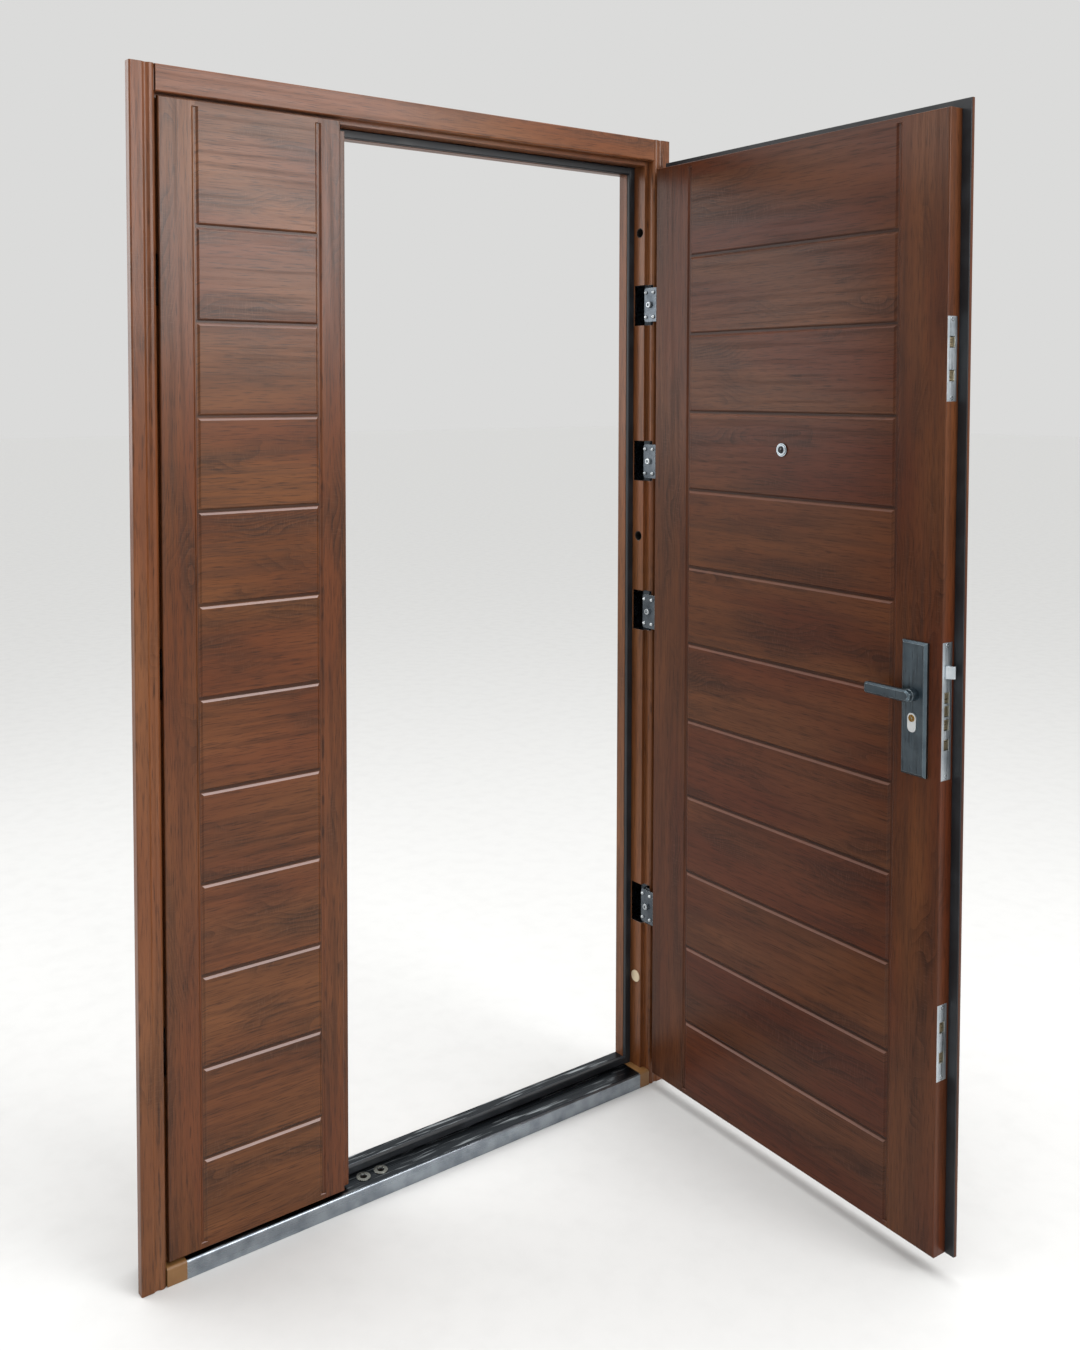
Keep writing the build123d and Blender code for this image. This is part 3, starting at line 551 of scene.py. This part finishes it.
# turned brass: a warm yellow spot in the lock
brass = metal("brass_turned", "#B8924A", "#8E6D33", "#E2C887", 0.28, (1, 1, 1))
# tarnished nickel: a grey ring on the bright tread
dull_nickel = metal("nickel_tarnished", "#8E8F89", "#686963", "#D3D4CE", 0.3, (4, 4, 4))
metals = (sill_steel, lock_steel, zinc, bright_zinc, gunmetal, chrome, nickel, bolt_steel, brass, dull_nickel)
print("metals", [m.name for m in metals])

# %% [markdown]
# The tread of the threshold is the same sheet as its front, but shoes have polished it and dirt has darkened
# it, with pale scuffs along the doorway. It faces up and the front doesn't, so the normal's Z tells them
# apart without cutting the sheet in two.

# %% Trodden sheet
SCUFF_SIZE = (90, 7, 7)
SCUFF_LIMITS = (0.55, 0.72)
SCUFF_DETAIL = 4.0
# Z of the normal where the tread starts and where it is full
TREAD_LIMITS = (0.7, 0.95)
TRODDEN_TONE, SCUFF_TONE = "#2E3338", "#B9C0C4"
tree = sill_steel.node_tree
shader = tree.nodes["Principled BSDF"]
clean = shader.inputs["Base Color"].links[0].from_socket
looks_up = add(tree, "SeparateXYZ", {0: add(tree, "NewGeometry").outputs["Normal"]}).outputs[2]
tread = {"Value": looks_up, "From Min": TREAD_LIMITS[0], "From Max": TREAD_LIMITS[1]}
tread = add(tree, "MapRange", tread).outputs[0]
scuff_scale = tuple(1 / (s * MM) for s in SCUFF_SIZE)
place = add(tree, "TexCoord").outputs["Object"]
scuffs = add(tree, "VectorMath", {0: place, 1: scuff_scale}, operation="MULTIPLY").outputs[0]
scuffs = add(tree, "TexNoise", {"Vector": scuffs, "Scale": 1.0, "Detail": SCUFF_DETAIL}).outputs[0]
scuffs = {"Value": scuffs, "From Min": SCUFF_LIMITS[0], "From Max": SCUFF_LIMITS[1]}
scuffs = add(tree, "MapRange", scuffs).outputs[0]
trodden = {0: scuffs, 6: tint(TRODDEN_TONE), 7: tint(SCUFF_TONE)}
trodden = add(tree, "Mix", trodden, data_type="RGBA").outputs[2]
worn_sheet = add(tree, "Mix", {0: tread, 6: clean, 7: trodden}, data_type="RGBA").outputs[2]
tree.links.new(worn_sheet, shader.inputs["Base Color"])
print("tread scuffs", SCUFF_SIZE, "mm")

# %% [markdown]
# ## Rubber, paint, plastic and glass
# The seals are extruded rubber: black, matt, with a bloom of dust. The ends of the threshold are plainly
# painted, and the lowest wall anchor holes are closed by pale moulded caps. One function serves, because all
# of them are a coloured body with a fine grit in the surface.

# %% Plain finish
BLOOM_SIZE = 60 * MM
BLOOM_LIMITS = (0.45, 0.75)
BLOOM_DETAIL = 5.0
# noise that gives the least and the most roughness, and the shares of the roughness there
SHEEN_LIMITS = (0.3, 0.7)
SHEEN_SPREAD = (0.85, 1.15)
GRIT_DETAIL = 2.0
GRIT_DEPTH = 0.1 * MM
PLAIN_BEND = 0.8 * MM


def moulded(name, tone, dusty, rough, grit, has_edges=True):
    """A plastic, rubber or paint with a faint dusty bloom and a fine grit, whose size is in mm."""
    material, tree, shader = finish(name)
    place = add(tree, "TexCoord").outputs["Object"]
    cloud = {"Vector": place, "Scale": 1 / BLOOM_SIZE, "Detail": BLOOM_DETAIL}
    cloud = add(tree, "TexNoise", cloud).outputs[0]
    bloom = {"Value": cloud, "From Min": BLOOM_LIMITS[0], "From Max": BLOOM_LIMITS[1]}
    colour = {0: add(tree, "MapRange", bloom).outputs[0], 6: tint(tone), 7: tint(dusty)}
    colour = add(tree, "Mix", colour, data_type="RGBA").outputs[2]
    tree.links.new(colour, shader.inputs["Base Color"])
    gloss = {"Value": cloud, "From Min": SHEEN_LIMITS[0], "From Max": SHEEN_LIMITS[1]}
    gloss.update({"To Min": rough * SHEEN_SPREAD[0], "To Max": rough * SHEEN_SPREAD[1]})
    tree.links.new(add(tree, "MapRange", gloss).outputs[0], shader.inputs["Roughness"])
    fine = {"Vector": place, "Scale": 1 / (grit * MM), "Detail": GRIT_DETAIL}
    fine = add(tree, "TexNoise", fine).outputs[0]
    bump = {"Height": fine, "Strength": SURFACE_BUMP, "Distance": GRIT_DEPTH}
    if has_edges:
        bump["Normal"] = softened(tree, PLAIN_BEND)[0]
    tree.links.new(add(tree, "Bump", bump).outputs[0], shader.inputs["Normal"])
    return material


print("bloom of", round(BLOOM_SIZE / MM), "mm on every plain finish")

# %% [markdown]
# Five finishes come out of it, from matt rubber to polished glass. Real grit is a fraction of a millimetre
# wide, and is drawn coarser here so that it breaks up the reflections in the render.

# %% The plain finishes
# extruded rubber: black and matt, so a seal reads as a line of shadow
rubber = moulded("seal_rubber_extruded", "#14171B", "#262A2F", 0.5, 1.2)
# plain paint on steel: flat tan with a low sheen
tan_paint = moulded("tan_paint_on_steel", "#7C5730", "#8B673E", 0.45, 2.5)
# moulded plastic: pale, with a soft gloss
cap_plastic = moulded("cap_plastic_moulded", "#CDBB9C", "#B7A58A", 0.4, 2.0)
# near-black with hardly any reflection: painted shade for the depth of a hole, so a hole looks deep
hole_shade = moulded("hole_shade_painted_black", "#17130F", "#241C16", 0.6, 2.0)
# polished glass, painted near-black for the shade in the tube behind it, with a sharp highlight
lens_glass = moulded("lens_glass_dark", "#0A0E13", "#131A22", 0.06, 6.0)
print("plain", [m.name for m in (rubber, tan_paint, cap_plastic, hole_shade, lens_glass)])

# %% [markdown]
# ## Dressing the solids
# Each solid keeps its shape and gets its finish in its one material slot. The list reads like a parts list,
# finish by finish.

# %% Finishes on the solids
dressed = {
    wide_print: ["main_leaf_back", "main_leaf_face"],
    side_print: ["side_leaf_face", "side_leaf_back"],
    jamb_print: ["hinge_jamb", "side_jamb"],
    head_print: ["head"],
    sill_steel: ["threshold_cladding"],
    dull_nickel: ["floor_bolt_sockets"],
    tan_paint: ["threshold_core"],
    cap_plastic: ["anchor_hole_caps"],
    zinc: ["main_hinge_arms", "main_hinge_boxes", "side_hinge_arms", "side_hinge_boxes"],
    gunmetal: ["inner_handle_plate", "outer_handle_plate", "inner_lever", "outer_lever"],
    chrome: ["peephole"],
    nickel: ["lock_cylinder"],
}
dressed[rubber] = [n for n in nodes if n.endswith(("_seal", "_gasket"))]
dressed[bolt_steel] = [n for n in nodes if n.endswith("_deadbolts")]
dressed[lock_steel] = [n for n in nodes if n.endswith("_lock_plate")]
dressed[lock_steel] += ["latch_bolt", "strike_plates", "lever_spindle"]
for material, names in dressed.items():
    for name in names:
        nodes[name].data.materials.clear()
        nodes[name].data.materials.append(material)
print("dressed", sum(len(names) for names in dressed.values()), "of", len(nodes), "solids")

# %% [markdown]
# ## Small turned pieces
# Rivets, bolts, rings and lenses are all turned: a half outline that is spun round an axis. Spinning beats a
# plain cylinder, because the outline can have a dome, a groove or a hollow. Like pieces on one body are one
# object, made from one pattern that is copied to each place.

# %% Helpers for small pieces
WELD = 0.002 * MM
CREASE = math.radians(32)


def turned(outline, steps):
    """Spins radius and height pairs in millimetres round Z into a closed shape."""
    shape = bmesh.new()
    points = [shape.verts.new((radius * MM, 0.0, height * MM)) for radius, height in outline]
    lines = [shape.edges.new(pair) for pair in zip(points, points[1:])]
    whole_turn = {"axis": (0, 0, 1), "cent": (0, 0, 0), "angle": math.tau, "steps": steps, "use_merge": True}
    bmesh.ops.spin(shape, geom=points + lines, **whole_turn)
    bmesh.ops.remove_doubles(shape, verts=shape.verts, dist=WELD)
    return shape


def facing(x, y, z, direction):
    """A place whose Z axis points away from the surface."""
    turn = Vector(direction).to_track_quat("Z", "Y").to_matrix().to_4x4()
    return Matrix.Translation((x, y, z)) @ turn


def group(name, body, material, shape, places):
    """One object of many like pieces, which rides a body."""
    pattern = bpy.data.meshes.new(name)
    shape.to_mesh(pattern)
    whole = bmesh.new()
    for place in places:
        copy = pattern.copy()
        copy.transform(place)
        whole.from_mesh(copy)
        bpy.data.meshes.remove(copy)
    bmesh.ops.recalc_face_normals(whole, faces=whole.faces)
    for face in whole.faces:
        face.smooth = True
    for edge in whole.edges:
        edge.smooth = edge.calc_face_angle(0.0) < CREASE
    whole.to_mesh(pattern)
    pattern.materials.append(material)
    piece = bpy.data.objects.new(name, pattern)
    bpy.context.scene.collection.objects.link(piece)
    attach(piece, body)
    print(name, len(places), "pieces,", len(pattern.polygons), "faces")
    return piece


print("edges over", round(math.degrees(CREASE)), "degrees stay sharp")

# %% [markdown]
# ## Hinge rivets
# All hinge plates of a leaf are one solid. They stand far apart, so their heights can be read off that
# solid: its points are sorted by height, and a wide gap marks the start of the next plate.

# %% Heights of the hinge plates
PLATE_GAP = 100 * MM
UP = 2


def middles(node, axis, gap):
    """Middles of the pieces of a solid that stand apart along an axis, from the lowest."""
    steps = sorted(v.co[axis] for v in nodes[node].data.vertices)
    breaks = [i for i in range(1, len(steps)) if steps[i] - steps[i - 1] > gap]
    ends = zip([0] + breaks, breaks + [len(steps)])
    return [(steps[first] + steps[past - 1]) / 2 for first, past in ends]


wide_hinges = middles("main_hinge_arms", UP, PLATE_GAP)
side_hinges = middles("side_hinge_arms", UP, PLATE_GAP)
print("hinges at", [round(z, 3) for z in wide_hinges], "and", [round(z, 3) for z in side_hinges])

# %% [markdown]
# Each hinge plate is held to the leaf's edge by four rivets near its corners and one larger bolt with a
# hollow head in the middle. They are bright against the dull plate.

# %% Hinge rivets and bolts
RIVET = [(0, 4.6), (1.6, 4.4), (2.9, 3.7), (3.7, 2.6), (4.1, 1.2), (4.2, -0.5), (0, -0.5)]
CUP_BOLT = [(0, 2.6), (2.8, 2.6), (3.2, 5.6), (5.6, 5.6), (6.8, 4.4), (7.2, -0.5), (0, -0.5)]
RIVET_INSET = 9 * MM
RIVET_RISE = 26 * MM


def hinge_places(low, high, heights, turn):
    """The places of the rivets and of the middle bolts on hinge plates that face +Y."""
    left, right = low.x + RIVET_INSET, high.x - RIVET_INSET
    rivets = []
    bolts = []
    for z in heights:
        bolts.append(turn @ facing((left + right) / 2, high.y, z, (0, 1, 0)))
        for x in (left, right):
            for rise in (-RIVET_RISE, RIVET_RISE):
                rivets.append(turn @ facing(x, high.y, z + rise, (0, 1, 0)))
    return rivets, bolts


rivet = turned(RIVET, steps=20)
bolt = turned(CUP_BOLT, steps=28)
wide_rivets, wide_bolts = hinge_places(*closed_box("main_hinge_arms"), wide_hinges, swing_open)
group("wide_hinge_rivets", "main_leaf", bright_zinc, rivet, wide_rivets)
group("wide_hinge_bolts", "main_leaf", bright_zinc, bolt, wide_bolts)
side_rivets, side_bolts = hinge_places(*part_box("side_hinge_arms"), side_hinges, Matrix())
group("side_hinge_rivets", "side_leaf", bright_zinc, rivet, side_rivets)
group("side_hinge_bolts", "side_leaf", bright_zinc, bolt, side_bolts)

# %% [markdown]
# ## Screws and the keyway
# The lock plates and strike plates are held by flat screws with a cross recess, and the lock cylinder has a
# round brass plug with a slanted slot for the key. Both are a disc with a sunk outline: the rim and the
# outline are two loops, the space between them is filled, and the inner loop is carried down.

# %% Sunk heads
ARM, SLIT = 2.3, 0.5
half_cross = [(SLIT, SLIT), (SLIT, ARM), (-SLIT, ARM), (-SLIT, SLIT), (-ARM, SLIT), (-ARM, -SLIT)]
CROSS = half_cross + [(-x, -y) for x, y in half_cross]


def sunk_head(radius, outline, depth, seat, sides=28):
    """A flat disc, in millimetres, with a recess of the given outline."""
    shape = bmesh.new()
    turns = [math.tau * i / sides for i in range(sides)]
    rim = [shape.verts.new((radius * MM * math.cos(t), radius * MM * math.sin(t), 0.0)) for t in turns]
    inner = [shape.verts.new((x * MM, y * MM, 0.0)) for x, y in outline]
    loops = []
    for ring in (rim, inner):
        loops += [shape.edges.new((a, b)) for a, b in zip(ring, ring[1:] + ring[:1])]
    bmesh.ops.triangle_fill(shape, edges=loops, use_beauty=True)
    for ring, drop in ((rim, seat), (inner, depth)):
        lower = [shape.verts.new((v.co.x, v.co.y, -drop * MM)) for v in ring]
        for i in range(len(ring)):
            shape.faces.new((ring[i - 1], ring[i], lower[i], lower[i - 1]))
        shape.faces.new(lower)
    return shape


print("cross recess", len(CROSS), "points")

# %% Lock and strike screws
SCREW_INSET = 5.5 * MM
SCREW_PROUD = 0.4 * MM
lock_screws = []
strike_screws = []
strike_low, strike_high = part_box("strike_plates")
for plate in ("main_lock_plate", "upper_lock_plate", "lower_lock_plate"):
    low, high = closed_box(plate)
    for z in (low.z + SCREW_INSET, high.z - SCREW_INSET):
        at_lock = facing(low.x - SCREW_PROUD, (low.y + high.y) / 2, z, (-1, 0, 0))
        lock_screws.append(swing_open @ at_lock)
        across = (strike_low.y + strike_high.y) / 2
        strike_screws.append(facing(strike_high.x + SCREW_PROUD, across, z, (1, 0, 0)))
screw = sunk_head(radius=3.8, outline=CROSS, depth=1.0, seat=1.6)
group("lock_plate_screws", "main_leaf", bright_zinc, screw, lock_screws)
group("strike_plate_screws", "side_leaf", bright_zinc, screw, strike_screws)

# %% Keyway plugs
PLUG_RISE = 7.5 * MM
PLUG_PROUD = 0.7 * MM
SLOT_SLANT = math.radians(28)
KEY_SLOT = [(-1.0, -4.2), (1.0, -4.2), (1.0, 4.2), (-1.0, 4.2)]
low, high = closed_box("lock_cylinder")
middle = (low + high) / 2
slant = Matrix.Rotation(SLOT_SLANT, 4, "Z")
plug_places = []
for y, way in ((low.y - PLUG_PROUD, -1), (high.y + PLUG_PROUD, 1)):
    plug_places.append(swing_open @ facing(middle.x, y, middle.z + PLUG_RISE, (0, way, 0)) @ slant)
plug = sunk_head(radius=6.2, outline=KEY_SLOT, depth=1.2, seat=1.6)
group("keyway_plugs", "main_leaf", brass, plug, plug_places)

# %% [markdown]
# Inside the slot the wards lie in shade. A long near-black oval disc, sunk a little below the plug's face, is
# painted shade that stands for them: a round head with a small dimple, drawn out along the slot.

# %% Painted shade in the keyway
DIMPLE = [(-0.4, -0.4), (0.4, -0.4), (0.4, 0.4), (-0.4, 0.4)]
SLOT_SHADE_STRETCH = 4.4
SLOT_SHADE_DROP = 0.7 * MM
slot_shade = sunk_head(radius=0.9, outline=DIMPLE, depth=0.3, seat=0.6, sides=16)
bmesh.ops.scale(slot_shade, vec=(1.0, SLOT_SHADE_STRETCH, 1.0), verts=slot_shade.verts)
drop = Matrix.Translation((0, 0, -SLOT_SHADE_DROP))
group("keyway_slot_shade", "main_leaf", hole_shade, slot_shade, [p @ drop for p in plug_places])

# %% [markdown]
# ## Peephole
# The peephole is a chrome flange on each face of the leaf. In it sits a stepped ring round a small lens
# with a strong dome, painted dark as the shade in the tube behind it, which mirrors the room as a bright
# spot.

# %% Peephole rings and lenses
INNER_STEP = [(7.0, -0.4), (7.0, 0.9), (7.6, 1.5), (8.8, 1.5)]
OUTER_STEP = [(9.1, 0.7), (9.5, 1.3), (10.6, 1.3), (11.4, -0.4)]
RING = INNER_STEP + OUTER_STEP + INNER_STEP[:1]
LENS = [(0, 2.2), (2.4, 2.0), (4.5, 1.4), (6.1, 0.6), (7.0, -0.3), (0, -0.3)]
low, high = closed_box("peephole")
middle = (low + high) / 2
eye_places = []
for y, way in ((low.y, -1), (high.y, 1)):
    eye_places.append(swing_open @ facing(middle.x, y, middle.z, (0, way, 0)))
group("peephole_rings", "main_leaf", chrome, turned(RING, steps=36), eye_places)
group("peephole_lenses", "main_leaf", lens_glass, turned(LENS, steps=28), eye_places)

# %% [markdown]
# ## Anchor sleeves
# Wall anchors are driven through round holes in the rebate. Behind each open hole is a sleeve, without which
# the eye would look through the hollow jamb, and it is painted near-black as the shade deep in the hole. It
# is a turned cup with a thin wall.

# %% Anchor sleeves
# heights in metres of the open holes, where they lie in the depth of the frame, and the face they are in
OPEN_ANCHORS = (1.203, 1.855)
ANCHOR_Y = -6 * MM
ANCHOR_FACE = 546 * MM
SLEEVE = [(9.0, -0.6), (10.3, -0.6), (10.3, -26), (0, -26), (0, -24.5), (9.0, -24.5), (9.0, -0.6)]
sleeve_places = []
for z in OPEN_ANCHORS:
    sleeve_places.append(facing(ANCHOR_FACE, ANCHOR_Y, z, (-1, 0, 0)))
    sleeve_places.append(facing(-ANCHOR_FACE, ANCHOR_Y, z, (1, 0, 0)))
group("anchor_sleeves", "frame", hole_shade, turned(SLEEVE, steps=32), sleeve_places)

# %% [markdown]
# The two sockets in the tread take the narrow leaf's floor bolts. Each has a cup below its rim, as deep
# as the well in the threshold, painted near-black as the shade inside the socket.

# %% Socket cups
SOCKET_X = (-152 * MM, -114 * MM)
SOCKET_Y = -10 * MM
TREAD_Z = 32 * MM
CUP = [(6.6, -1.4), (7.8, -1.4), (7.8, -14.8), (0, -14.8), (0, -13.4), (6.6, -13.4), (6.6, -1.4)]
cup_places = [facing(x, SOCKET_Y, TREAD_Z, (0, 0, 1)) for x in SOCKET_X]
group("socket_cups", "frame", hole_shade, turned(CUP, steps=32), cup_places)

# %% [markdown]
# ## Camera
# The camera stands at eye height, left of the doorway, and looks almost level, so uprights stay upright. A
# level view of a tall door would waste half of the picture above it, so the lens is shifted down, as on an
# architect's camera.

# %% Camera
IMAGE_W, IMAGE_H = 1080, 1350
EYE = Vector((-1.3793, -2.0767, 1.5166))
YAW = math.radians(35.553)
PITCH = math.radians(2.407)
FOCAL_PX = 1298.6
CENTRE_PX = (471.0, 445.5)
lens = bpy.data.cameras.new("door_camera")
lens.sensor_width = 36.0
lens.lens = FOCAL_PX / IMAGE_H * lens.sensor_width
lens.shift_x = (IMAGE_W / 2 - CENTRE_PX[0]) / IMAGE_H
lens.shift_y = (CENTRE_PX[1] - IMAGE_H / 2) / IMAGE_H
camera = bpy.data.objects.new("door_camera", lens)
camera.location = EYE
camera.rotation_euler = (math.pi / 2 - PITCH, 0.0, -YAW)
bpy.context.scene.collection.objects.link(camera)
bpy.context.scene.camera = camera
print("lens", round(lens.lens, 2), "mm, shift", round(lens.shift_x, 3), round(lens.shift_y, 3))

# %% [markdown]
# ## Floor and light
# A pale painted floor runs to the horizon, under a soft white surround of nearly the same brightness, so
# that no line between them draws the eye away from the door.

# %% Floor and surround
FLOOR_REACH = 40.0
FLOOR_DROP = 0.5 * MM
SURROUND_STRENGTH = 0.79
floor_mesh = bpy.data.meshes.new("floor")
corners = [(x * FLOOR_REACH, y * FLOOR_REACH, 0) for x, y in ((-1, -1), (1, -1), (1, 1), (-1, 1))]
floor_mesh.from_pydata(corners, [], [(0, 1, 2, 3)])
floor = bpy.data.objects.new("floor", floor_mesh)
floor.location.z = -FLOOR_DROP
bpy.context.scene.collection.objects.link(floor)
# rolled floor paint: an even pale grey with hardly any gloss; a flat floor has no edges to soften
floor_paint = moulded("floor_paint_pale", "#D6D6D5", "#D3D3D2", 0.75, 3.0, has_edges=False)
floor_mesh.materials.append(floor_paint)
floor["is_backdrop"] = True

world = bpy.data.worlds.new("soft_white_surround")
world.use_nodes = True
world.node_tree.nodes["Background"].inputs["Color"].default_value = tint("#F3F3F2")
world.node_tree.nodes["Background"].inputs["Strength"].default_value = SURROUND_STRENGTH
bpy.context.scene.world = world
bpy.context.scene.view_settings.view_transform = "Standard"
print("floor reaches", FLOOR_REACH, "m, surround", SURROUND_STRENGTH)

# %% [markdown]
# Large soft lamps show a satin print best, because their reflections have no hard rim: one above, which
# lights the lower slope of every channel, a softbox in front for the narrow leaf, a weak fill from the left,
# and one behind the doorway that glosses the top of the open leaf. A wide sun stands for an overcast sky.

# %% Lamps
# where each lamp hangs, where it points, its width in metres and its power in watts
LAMPS = {
    "overhead": ((0.6, -1.3, 4.0), (0.4, -0.6, 0.0), 3.4, 76.0),
    "front_softbox": ((1.25, -3.3, 2.5), (-0.4, 0.0, 1.7), 1.6, 68.0),
    "left_fill": ((-3.4, -2.6, 2.6), (0.3, -0.3, 1.2), 2.0, 5.0),
    "behind_doorway": ((-2.1, 1.95, 2.2), (0.5, -0.4, 1.6), 2.1, 40.0),
}
SKY_STRENGTH = 1.0
SKY_WIDTH = math.radians(50)
SKY_TILT = math.radians(-14)
for name, (place, aim, size, watts) in LAMPS.items():
    lamp = bpy.data.lights.new(name, "AREA")
    lamp.energy = watts
    lamp.size = size
    stand = bpy.data.objects.new(name, lamp)
    stand.location = place
    stand.rotation_euler = (Vector(aim) - Vector(place)).to_track_quat("-Z", "Y").to_euler()
    stand.visible_camera = False
    bpy.context.scene.collection.objects.link(stand)
sky = bpy.data.lights.new("high_sky", "SUN")
sky.energy = SKY_STRENGTH
sky.angle = SKY_WIDTH
sky_stand = bpy.data.objects.new("high_sky", sky)
sky_stand.rotation_euler = (SKY_TILT, 0.0, 0.0)
bpy.context.scene.collection.objects.link(sky_stand)
print("lamps", list(LAMPS), sky.name)

# %% [markdown]
# ## Size of the dressed door
# The size of the dressed door is printed.

# %% Size of the dressed door
low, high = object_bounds()
print("visual box", [round(v, 3) for v in (*low, *high)])
